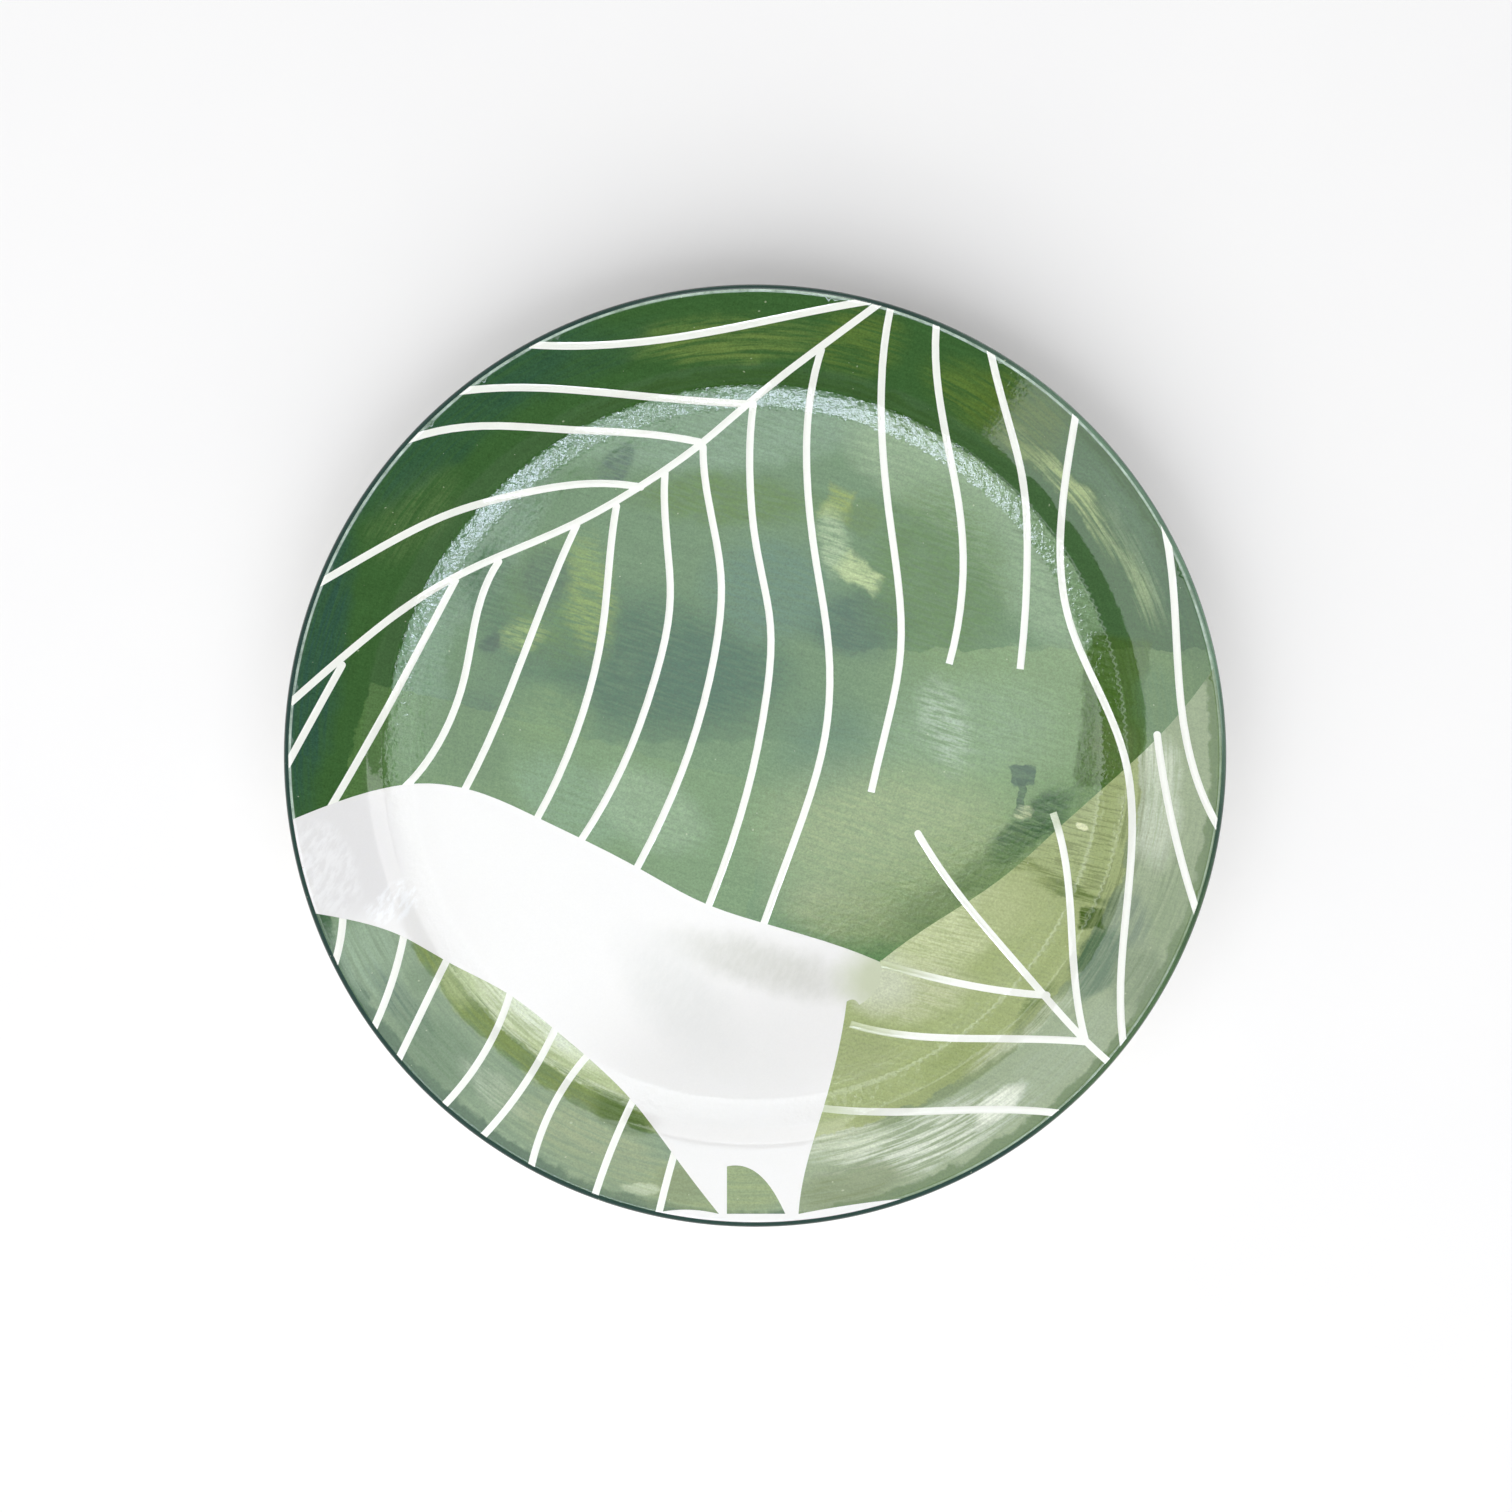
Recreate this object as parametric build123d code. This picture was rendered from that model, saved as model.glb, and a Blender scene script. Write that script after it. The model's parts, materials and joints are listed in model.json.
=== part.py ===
"""Hand painted ceramic plate, made the way a potter makes it.

A turned clay body stands on a foot ring that is luted into its underside. White slip covers its face. On the
slip lie the painting, in flat fields of colour between trailed white veins, and a dark band round the lip. A
clear glaze covers the painting, and a white glaze covers the back down to the foot's bare edge.

The origin is the centre of the plane that the foot stands on, and +Z is up. Lengths are in millimetres.
"""

from build123d import *
import math
import os

# ---- the turned body ----
PLATE_RADIUS = 135.0  # to the outermost point of the glazed lip
FLOOR_RADIUS = 97.5  # the flat of the well
BASE_RADIUS = 101.0  # the flat of the underside
BASE_Z = 4.0  # the underside of the clay
FLOOR_Z = 9.0  # the clay floor of the well
SWEEP_ANGLE = 14.0  # slope that the floor reaches as it sweeps up
WALL_ANGLE = 27.0  # slope of the short wall round the well
FLANGE_ANGLE = 16.0  # slope of the flange's face
UNDER_WALL_ANGLE = 32.0  # slope of the underside between base and flange
UNDER_ANGLE = 19.0  # slope of the flange's underside
WELL_SWEEP = 42.0  # radius of the wide hollow at the edge of the floor
WELL_FILLET = 3.5  # tight hollow at the foot of the wall
WALL_LENGTH = 3.0
SHOULDER_RADIUS = 8.0  # crest between wall and flange
BASE_FILLET = 12.0
UNDER_SHOULDER = 14.0
LIP_RADIUS = 1.0  # the clay's round lip

# ---- coats on the clay ----
SLIP = 0.25
PAINT = 0.25
GLAZE = 0.3
COAT = SLIP + PAINT + GLAZE

# ---- where the coats change round the lip: 90 is the outermost point, 180 is the crest ----
WRAP_ANGLE = 60.0  # the back glaze meets the coats of the face
BAND_ANGLE = 168.0  # the dark band meets the painting

# ---- foot ring ----
FOOT_RADIUS = 83.0  # middle of the ring
FOOT_TOP_WIDTH = 6.0
FOOT_TIP_WIDTH = 4.0
FOOT_EDGE = 0.9  # rounding of the standing edge
LUTE_DEPTH = 1.0  # how far the ring is let into the body
GLAZE_LINE = 1.2  # the foot is bare below this height
GLAZE_POOL = 1.5  # hollow of the glaze beside the foot

# ---- painting ----
VEIN_WIDTH = 2.0
CUTTER_HEIGHT = 40.0
OUTSIDE = 145.0  # a corner at this distance is well off the plate

# The large leaf's veins: the midrib from the top right to the left, then the side veins in order along it.
LARGE_LEAF_VEINS = [
    [
        (36.5, 130), (19, 117.5), (-1.5, 102), (-15, 90.5), (-33.5, 77.5), (-53, 66.5),
        (-88.5, 50.5), (-118, 28.5), (-133, 15),
    ],
    [(32.5, 130), (10, 126), (-16, 121), (-39, 118), (-64.5, 117.5)],
    [(-3, 101.5), (-19, 102.5), (-44.5, 104.5), (-64.5, 105.5), (-85.5, 104)],
    [(-16, 90.5), (-33.5, 93), (-56.5, 94), (-79, 94.5), (-100, 90)],
    [(-33, 77.5), (-48, 78.5), (-68, 75.5), (-88, 69.5), (-105, 61), (-126, 48.5)],
    [(-118.5, 26), (-125.5, 13), (-134, -3)],
    [(-86.5, 50.5), (-95.5, 33.5), (-108.5, 9), (-123, -17)],
    [(-74, 56), (-80, 42), (-84, 22), (-90, 6), (-102, -10)],
    [(-51.5, 66.5), (-59.5, 48), (-69.5, 22), (-85, -12)],
    [(-40, 72), (-42, 56.5), (-44, 36.5), (-49.5, 13), (-64, -20)],
    [(-26, 81.5), (-25.5, 62.5), (-24.5, 45), (-29, 22), (-37.5, -1.5), (-52, -27)],
    [(-15, 89), (-13, 71), (-10, 54), (-12, 27.5), (-20, -1.5), (-35.5, -35)],
    [(-0.5, 101.5), (-1.5, 80), (0.5, 59.5), (4.5, 36.5), (3.5, 19), (-3, -13), (-14.5, -46)],
    [
        (19, 116.5), (15.5, 100), (15, 80), (17.5, 56.5), (21, 33.5), (20.5, 7.5), (13.5, -18.5),
        (2, -50),
    ],
    [
        (39, 129), (36.5, 111), (36.5, 94.5), (38.5, 71), (41.5, 48), (42, 30.5), (38.5, 10.5),
        (33.5, -10.5),
    ],
    [(52, 125), (53, 102.5), (57.5, 80), (60, 59.5), (59.5, 45), (56, 26.5)],
    [(67, 117), (72.5, 96.5), (77.5, 76.5), (78.5, 56.5), (78, 42), (76.5, 25)],
    [
        (92, 99.5), (88.5, 73.5), (88, 56.5), (90.5, 39.5), (99, 19), (107, -2.5),
        (108.5, -21.5), (107, -41.5), (105.5, -84),
    ],
    [(116.5, 68), (120, 44.5), (122, 16), (134, -23)],
    [(115.5, 6), (119.5, -18.5), (127, -47)],
]
# The right leaf's veins: its stem, then the side veins.
RIGHT_LEAF_VEINS = [
    [(47, -22.5), (59.5, -41), (78.5, -63.5), (94, -81), (104, -90)],
    [(84, -69), (72.5, -68), (53.5, -64.5), (36, -60)],
    [(95, -82), (82, -81.5), (56.5, -81.5), (27.5, -77.5)],
    [(94.5, -81), (92, -64.5), (91, -45), (89, -27.5), (86, -16.5)],
    [(89, -102.5), (75, -101.5), (42, -102.5), (18, -101.5)],
]
# The lower left leaf's veins, from the rim at the left to the rim at the bottom.
LEFT_LEAF_VEINS = [
    [(-118, -44), (-119, -54.5), (-121, -62)],
    [(-100.5, -49), (-104.5, -66), (-110, -80)],
    [(-87.5, -56), (-95, -72), (-103, -89)],
    [(-70, -66), (-76.5, -83), (-91, -102)],
    [(-56.5, -76), (-66, -94), (-79, -110)],
    [(-46, -84), (-58, -100.5), (-64.5, -120)],
    [(-34.5, -98), (-41.5, -113.5), (-46.5, -128)],
    [(-22.5, -112), (-26, -124.5), (-28, -133)],
]

# The bare white field, clockwise from the rim at the left, one list for each smooth side.
WHITE_FIELD_SIDES = [
    [
        (-134, -19), (-109.5, -10), (-96, -8), (-80, -10.5), (-62.5, -18), (-33.5, -32.5),
        (-16, -42), (3, -48.5), (36, -59.5),
    ],
    [(36, -59.5), (35.5, -66.5), (30, -72)],
    [(30, -72), (28.5, -70.5), (26.5, -71)],
    [(26.5, -71), (24, -85.5), (19.5, -102.5), (16, -113.5), (12.5, -131)],
    [(12.5, -131), (27, -128.5), (43, -126.5)],
    [(43, -126.5), (46, -OUTSIDE)],
    [(46, -OUTSIDE), (-32, -OUTSIDE)],
    [(-32, -OUTSIDE), (-30, -131)],
    [(-30, -131), (-20, -129.8), (-10.5, -131)],
    [
        (-10.5, -131), (-24, -114), (-36, -99), (-58, -79), (-71, -69), (-89.5, -59),
        (-101.5, -52), (-119, -46.5), (-127, -45),
    ],
    [(-127, -45), (-OUTSIDE, -44)],
    [(-OUTSIDE, -44), (-OUTSIDE, -22)],
    [(-OUTSIDE, -22), (-134, -19)],
]
# The patch of leaf colour between the white field's two feet.
SMALL_PATCH_SIDES = [
    [(8.5, -131), (4.5, -124), (0, -119.5), (-8, -118)],
    [(-8, -118), (-8, -131)],
    [(-8, -131), (8.5, -131)],
]
# The right leaf lies below its upper edge; its other sides run through the white field and off the plate.
RIGHT_LEAF_SIDES = [
    [(10, -60), (36, -59.5)],
    [(36, -59.5), (50.5, -49), (71, -35.5), (88.5, -20), (108.5, -2), (132.5, 27.5)],
    [(132.5, 27.5), (OUTSIDE, 43)],
    [(OUTSIDE, 43), (OUTSIDE, -OUTSIDE)],
    [(OUTSIDE, -OUTSIDE), (-5, -OUTSIDE)],
    [(-5, -OUTSIDE), (10, -60)],
]
# The lower left leaf lies below the white field; its other sides run through that field and off the plate.
LEFT_LEAF_SIDES = [
    [(-OUTSIDE, -36), (-110, -30)],
    [(-110, -30), (-60, -50)],
    [(-60, -50), (0, -80)],
    [(0, -80), (0, -OUTSIDE)],
    [(0, -OUTSIDE), (-OUTSIDE, -OUTSIDE)],
    [(-OUTSIDE, -OUTSIDE), (-OUTSIDE, -36)],
]


def sine(angle):
    return math.sin(math.radians(angle))


def cosine(angle):
    return math.cos(math.radians(angle))


# ---- lengths that follow from the driving dimensions ----
LIP_CENTRE_R = PLATE_RADIUS - COAT - LIP_RADIUS
SHOULDER_RUN = SHOULDER_RADIUS * (sine(WALL_ANGLE) - sine(FLANGE_ANGLE))
SWEEP_RUN = WELL_SWEEP * sine(SWEEP_ANGLE)
FILLET_RUN = WELL_FILLET * (sine(WALL_ANGLE) - sine(SWEEP_ANGLE))
WALL_RUN = SWEEP_RUN + FILLET_RUN + WALL_LENGTH * cosine(WALL_ANGLE)
FLANGE_RUN = LIP_CENTRE_R - LIP_RADIUS * sine(FLANGE_ANGLE) - FLOOR_RADIUS - WALL_RUN - SHOULDER_RUN
FLANGE_LENGTH = FLANGE_RUN / cosine(FLANGE_ANGLE)
SHOULDER_RISE = SHOULDER_RADIUS * (cosine(FLANGE_ANGLE) - cosine(WALL_ANGLE))
SWEEP_RISE = WELL_SWEEP * (1 - cosine(SWEEP_ANGLE))
FILLET_RISE = WELL_FILLET * (cosine(SWEEP_ANGLE) - cosine(WALL_ANGLE))
WALL_RISE = SWEEP_RISE + FILLET_RISE + WALL_LENGTH * sine(WALL_ANGLE)
FLANGE_RISE = FLANGE_LENGTH * sine(FLANGE_ANGLE)
LIP_CENTRE_Z = FLOOR_Z + WALL_RISE + SHOULDER_RISE + FLANGE_RISE - LIP_RADIUS * cosine(FLANGE_ANGLE)


class Pen:
    """Walks round the clay's outline with the clay on its left, and draws at an even distance outside it."""

    def __init__(self, r, z, heading, outside):
        self.r = r
        self.z = z
        self.heading = heading
        self.outside = outside
        self.lines = []

    def point(self):
        r = self.r + self.outside * sine(self.heading)
        z = self.z - self.outside * cosine(self.heading)
        return (r, z)

    def forward(self, length):
        start = self.point()
        self.r += length * cosine(self.heading)
        self.z += length * sine(self.heading)
        self.lines.append(Line(start, self.point()))

    def turn(self, angle, radius):
        """Follow an arc of the clay's outline: to the left when the angle is positive, else to the right."""
        side = 1 if angle > 0 else -1
        centre_r = self.r - side * radius * sine(self.heading)
        centre_z = self.z + side * radius * cosine(self.heading)
        drawn = radius + side * self.outside
        self.lines.append(CenterArc((centre_r, centre_z), drawn, self.heading - side * 90, angle))
        self.heading += angle
        self.r = centre_r + side * radius * sine(self.heading)
        self.z = centre_z - side * radius * cosine(self.heading)


def underside_pen(start_r, outside):
    """Draw from the flat base at start_r, out under the flange, and round the lip to the wrap line."""
    flat = BASE_RADIUS - start_r
    fillet_run = BASE_FILLET * sine(UNDER_WALL_ANGLE)
    fillet_rise = BASE_FILLET * (1 - cosine(UNDER_WALL_ANGLE))
    shoulder_run = UNDER_SHOULDER * (sine(UNDER_WALL_ANGLE) - sine(UNDER_ANGLE))
    shoulder_rise = UNDER_SHOULDER * (cosine(UNDER_ANGLE) - cosine(UNDER_WALL_ANGLE))
    run = LIP_CENTRE_R + LIP_RADIUS * sine(UNDER_ANGLE) - BASE_RADIUS - fillet_run - shoulder_run
    rise = LIP_CENTRE_Z - LIP_RADIUS * cosine(UNDER_ANGLE) - BASE_Z - fillet_rise - shoulder_rise
    spread = sine(UNDER_WALL_ANGLE - UNDER_ANGLE)
    wall_length = (rise * cosine(UNDER_ANGLE) - run * sine(UNDER_ANGLE)) / spread
    flange_length = (run * sine(UNDER_WALL_ANGLE) - rise * cosine(UNDER_WALL_ANGLE)) / spread

    pen = Pen(start_r, BASE_Z, 0, outside)
    pen.forward(flat)
    pen.turn(UNDER_WALL_ANGLE, BASE_FILLET)
    pen.forward(wall_length)
    pen.turn(UNDER_ANGLE - UNDER_WALL_ANGLE, UNDER_SHOULDER)
    pen.forward(flange_length)
    pen.turn(WRAP_ANGLE - UNDER_ANGLE, LIP_RADIUS)
    return pen


def lip_pen(angle, outside):
    """A pen at this angle round the lip."""
    r = LIP_CENTRE_R + LIP_RADIUS * sine(angle)
    z = LIP_CENTRE_Z - LIP_RADIUS * cosine(angle)
    return Pen(r, z, angle, outside)


def draw_face(pen):
    """Draw on round the lip, down the flange and the wall, and over the floor to the centre."""
    pen.turn(180 + FLANGE_ANGLE - pen.heading, LIP_RADIUS)
    pen.forward(FLANGE_LENGTH)
    pen.turn(WALL_ANGLE - FLANGE_ANGLE, SHOULDER_RADIUS)
    pen.forward(WALL_LENGTH)
    pen.turn(SWEEP_ANGLE - WALL_ANGLE, WELL_FILLET)
    pen.turn(-SWEEP_ANGLE, WELL_SWEEP)
    pen.forward(FLOOR_RADIUS)


def turned(section):
    """A solid of revolution from a section drawn as (radius, height)."""
    return revolve(Plane.XZ * section, Axis.Z, 360)


def coat_section(near, far):
    """The section between two pens that walked the same way, one nearer the clay than the other."""
    start = Line(near.lines[0] @ 0, far.lines[0] @ 0)
    end = Line(near.lines[-1] @ 1, far.lines[-1] @ 1)
    return make_face([start, end] + near.lines + far.lines)


def face_coat(angle, inner, outer):
    """A coat of even thickness over the whole face, from this angle round the lip."""
    near = lip_pen(angle, inner)
    far = lip_pen(angle, outer)
    draw_face(near)
    draw_face(far)
    return turned(coat_section(near, far))


def clay_body():
    """The turned dish, with the groove that holds the foot ring."""
    pen = underside_pen(0, 0)
    draw_face(pen)
    axis = Line(pen.lines[-1] @ 1, pen.lines[0] @ 0)
    dish = turned(make_face([axis] + pen.lines))
    groove = Pos(FOOT_RADIUS, BASE_Z) * Rectangle(FOOT_TOP_WIDTH, 2 * LUTE_DEPTH)
    return dish - turned(groove)


def foot_wall_r(side, z):
    """Radius of the foot ring's outer wall (side 1) or inner wall (side -1) at height z."""
    taper = (FOOT_TOP_WIDTH - FOOT_TIP_WIDTH) / 2 * (z / BASE_Z)
    return FOOT_RADIUS + side * (FOOT_TIP_WIDTH / 2 + taper)


def foot_ring():
    """The standing ring: it tapers to a rounded edge, and its top fills the groove in the body."""
    top = BASE_Z + LUTE_DEPTH
    outline = Polyline(
        (foot_wall_r(-1, BASE_Z), top),
        (foot_wall_r(-1, BASE_Z), BASE_Z),
        (foot_wall_r(-1, 0), 0),
        (foot_wall_r(1, 0), 0),
        (foot_wall_r(1, BASE_Z), BASE_Z),
        (foot_wall_r(1, BASE_Z), top),
        close=True,
    )
    section = make_face(outline)
    standing_edges = section.vertices().group_by(Axis.Y)[0]
    return turned(fillet(standing_edges, FOOT_EDGE))


def pooled(section, r, z):
    """Round the hollow corner that is nearest to this point, as glaze does where it pools."""
    corner = section.vertices().sort_by_distance((r, z))[0]
    return fillet(corner, GLAZE_POOL)


def back_glaze():
    """White glaze from the foot's glaze line, out over the back, to the wrap line under the lip."""
    near = underside_pen(foot_wall_r(1, BASE_Z), 0)
    far = underside_pen(foot_wall_r(1, BASE_Z) + COAT, COAT)
    corner = far.lines[0] @ 0
    line_r = foot_wall_r(1, GLAZE_LINE)
    foot = Polyline(near.lines[0] @ 0, (line_r, GLAZE_LINE), (line_r + COAT, GLAZE_LINE), corner)
    end = Line(near.lines[-1] @ 1, far.lines[-1] @ 1)
    section = make_face([end] + foot.edges() + near.lines + far.lines)
    return turned(pooled(section, corner.X, corner.Y))


def foot_recess_glaze():
    """White glaze on the disc inside the foot ring, down to the glaze line."""
    low = BASE_Z - COAT
    corner_r = foot_wall_r(-1, BASE_Z) - COAT
    line_r = foot_wall_r(-1, GLAZE_LINE)
    outline = Polyline(
        (0, BASE_Z),
        (foot_wall_r(-1, BASE_Z), BASE_Z),
        (line_r, GLAZE_LINE),
        (line_r - COAT, GLAZE_LINE),
        (corner_r, low),
        (0, low),
        close=True,
    )
    return turned(pooled(make_face(outline), corner_r, low))


def rim_band():
    """The dark band of paint round the lip."""
    near = lip_pen(WRAP_ANGLE, SLIP)
    far = lip_pen(WRAP_ANGLE, SLIP + PAINT)
    near.turn(BAND_ANGLE - WRAP_ANGLE, LIP_RADIUS)
    far.turn(BAND_ANGLE - WRAP_ANGLE, LIP_RADIUS)
    return turned(coat_section(near, far))


def smooth_line(points):
    """A straight line through two points, or a smooth curve through more."""
    return Line(*points) if len(points) == 2 else Spline(*points)


def patch_cutter(sides):
    """An upright prism whose outline is these sides, end to end."""
    outline = [smooth_line(side) for side in sides]
    return extrude(make_face(outline), CUTTER_HEIGHT)


def vein_outline(points):
    """A strip of even width along a smooth line, with a round start and a square end."""
    middle = smooth_line(points)
    steps = 2 * (len(points) - 1)
    left = []
    right = []
    for step in range(steps + 1):
        along = step / steps
        centre = middle @ along
        across = (middle % along).rotate(Axis.Z, 90) * (VEIN_WIDTH / 2)
        left.append(centre + across)
        right.append(centre - across)
    tip = middle @ 0 - (middle % 0) * (VEIN_WIDTH / 2)
    start = ThreePointArc(right[0], tip, left[0])
    return make_face([Spline(*left), Line(left[-1], right[-1]), Spline(*right), start])


def vein_cutter(veins):
    """Upright prisms over all of one leaf's veins, joined where they meet."""
    strips = Sketch() + [vein_outline(points) for points in veins]
    return extrude(strips, CUTTER_HEIGHT)


def painting():
    """Divide the layer of paint into its fields and its veins, each a solid or a group of them."""
    layer = face_coat(BAND_ANGLE, SLIP, SLIP + PAINT)
    order = [
        ("white_field_paint", patch_cutter(WHITE_FIELD_SIDES) - patch_cutter(SMALL_PATCH_SIDES)),
        ("small_patch_paint", patch_cutter(SMALL_PATCH_SIDES)),
        ("large_leaf_veins", vein_cutter(LARGE_LEAF_VEINS)),
        ("right_leaf_veins", vein_cutter(RIGHT_LEAF_VEINS)),
        ("left_leaf_veins", vein_cutter(LEFT_LEAF_VEINS)),
        ("right_leaf_paint", patch_cutter(RIGHT_LEAF_SIDES)),
        ("left_leaf_paint", patch_cutter(LEFT_LEAF_SIDES)),
    ]
    pieces = {}
    for name, cutter in order:
        pieces[name] = layer & cutter
        layer = layer - cutter
    pieces["large_leaf_paint"] = layer
    return pieces


def main():
    pieces = {
        "clay_body": clay_body(),
        "foot_ring": foot_ring(),
        "white_slip": face_coat(WRAP_ANGLE, 0, SLIP),
        "rim_band": rim_band(),
        "clear_face_glaze": face_coat(WRAP_ANGLE, SLIP + PAINT, COAT),
        "back_glaze": back_glaze(),
        "foot_recess_glaze": foot_recess_glaze(),
    }
    pieces.update(painting())
    os.makedirs("parts", exist_ok=True)
    for name, piece in pieces.items():
        export_step(piece, f"parts/{name}.step")


main()
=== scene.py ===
"""Looks of a hand painted ceramic plate: glazed body, white field, green leaves and trailed white veins.

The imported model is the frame. Every piece here follows its section or its outlines, in metres, +Z up.
"""

import json
import logging
import math
from collections import Counter
from dataclasses import dataclass
from enum import Enum
from typing import Iterable, Optional, Sequence, Union

import bpy
import numpy as np
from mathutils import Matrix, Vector
from mathutils.geometry import delaunay_2d_cdt
from mathutils.kdtree import KDTree

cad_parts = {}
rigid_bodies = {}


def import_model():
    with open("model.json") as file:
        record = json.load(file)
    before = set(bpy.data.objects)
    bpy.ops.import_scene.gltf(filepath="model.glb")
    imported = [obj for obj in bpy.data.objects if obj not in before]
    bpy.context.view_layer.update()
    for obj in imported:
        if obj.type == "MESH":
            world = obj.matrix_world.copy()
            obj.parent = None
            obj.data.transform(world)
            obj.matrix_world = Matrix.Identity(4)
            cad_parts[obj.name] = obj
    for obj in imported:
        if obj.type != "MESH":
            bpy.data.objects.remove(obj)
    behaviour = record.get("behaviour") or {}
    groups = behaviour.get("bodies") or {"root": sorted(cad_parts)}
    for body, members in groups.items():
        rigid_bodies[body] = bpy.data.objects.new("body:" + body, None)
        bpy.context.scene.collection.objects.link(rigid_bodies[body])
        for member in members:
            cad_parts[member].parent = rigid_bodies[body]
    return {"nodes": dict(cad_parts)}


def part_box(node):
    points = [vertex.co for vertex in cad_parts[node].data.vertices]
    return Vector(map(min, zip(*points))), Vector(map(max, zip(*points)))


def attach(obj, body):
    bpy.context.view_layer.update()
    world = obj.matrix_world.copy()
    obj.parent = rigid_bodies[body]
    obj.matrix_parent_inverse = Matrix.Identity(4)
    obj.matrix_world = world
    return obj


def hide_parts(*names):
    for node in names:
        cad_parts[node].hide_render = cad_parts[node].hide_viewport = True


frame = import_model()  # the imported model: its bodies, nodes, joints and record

LOG = logging.getLogger("plate")
MM = 0.001
ROOT = "root"
SHARP_ANGLE = 40  # degrees between two faces that meet at a crisp edge

Number = Union[float, "Value"]
Rgb = tuple[float, float, float]
Section = list[tuple[float, float]]


# ---------------------------------------------------------------- shader maths


class Value:
    """A number that varies over a surface. It wraps a socket, and arithmetic on it adds Math nodes."""

    def __init__(self, shader: "Shader", socket: bpy.types.NodeSocket) -> None:
        """Wrap a socket of this shader's tree."""
        self.shader = shader
        self.socket = socket

    def __add__(self, other: Number) -> "Value":
        """self + other."""
        return self.shader.math("ADD", self, other)

    __radd__ = __add__

    def __sub__(self, other: Number) -> "Value":
        """self - other."""
        return self.shader.math("SUBTRACT", self, other)

    def __rsub__(self, other: Number) -> "Value":
        """other - self."""
        return self.shader.math("SUBTRACT", other, self)

    def __mul__(self, other: Number) -> "Value":
        """self * other."""
        return self.shader.math("MULTIPLY", self, other)

    __rmul__ = __mul__

    def __truediv__(self, other: Number) -> "Value":
        """self / other."""
        return self.shader.math("DIVIDE", self, other)

    def __abs__(self) -> "Value":
        """The size of the number, without its sign."""
        return self.shader.math("ABSOLUTE", self)

    def hypot(self, other: "Value") -> "Value":
        """Length of the hypotenuse over self and other."""
        return self.shader.math("SQRT", self * self + other * other)

    def larger(self, other: Number) -> "Value":
        """The larger of the two."""
        return self.shader.math("MAXIMUM", self, other)

    def smaller(self, other: Number) -> "Value":
        """The smaller of the two."""
        return self.shader.math("MINIMUM", self, other)

    def smooth(self, low: float, high: float) -> "Value":
        """A smooth step.

        Args:
            low: where it is 0. It may be above high.
            high: where it is 1.

        Returns:
            The step, 0 to 1.
        """
        turned = low > high
        ends = (high, low) if turned else (low, high)
        settings = {"interpolation_type": "SMOOTHSTEP"}
        inputs = {"Value": self, "From Min": ends[0], "From Max": ends[1]}
        step = self.shader.value("ShaderNodeMapRange", settings, inputs)
        return 1 - step if turned else step


class Colour:
    """A colour that varies over a surface. It wraps a socket and is changed through Mix nodes."""

    def __init__(self, shader: "Shader", socket: Union[bpy.types.NodeSocket, Rgb]) -> None:
        """Wrap a colour socket, or start from one plain colour."""
        self.shader = shader
        self.socket = socket

    def mixed(self, other: Union["Colour", Rgb], amount: Number, way: str = "MIX") -> "Colour":
        """Blend another colour over this one.

        Args:
            other: the colour on top.
            amount: how much of it shows, 0 to 1.
            way: the Mix node's blend type.

        Returns:
            The blended colour.
        """
        settings = {"data_type": "RGBA", "blend_type": way}
        node = self.shader.node("ShaderNodeMix", settings, {0: amount, 6: self, 7: other})
        return Colour(self.shader, node.outputs[2])

    def shaded(self, amount: Value) -> "Colour":
        """Darken or lighten the colour: it is multiplied by the amount."""
        return self.mixed(Colour(self.shader, amount.socket), 1.0, "MULTIPLY")


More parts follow.
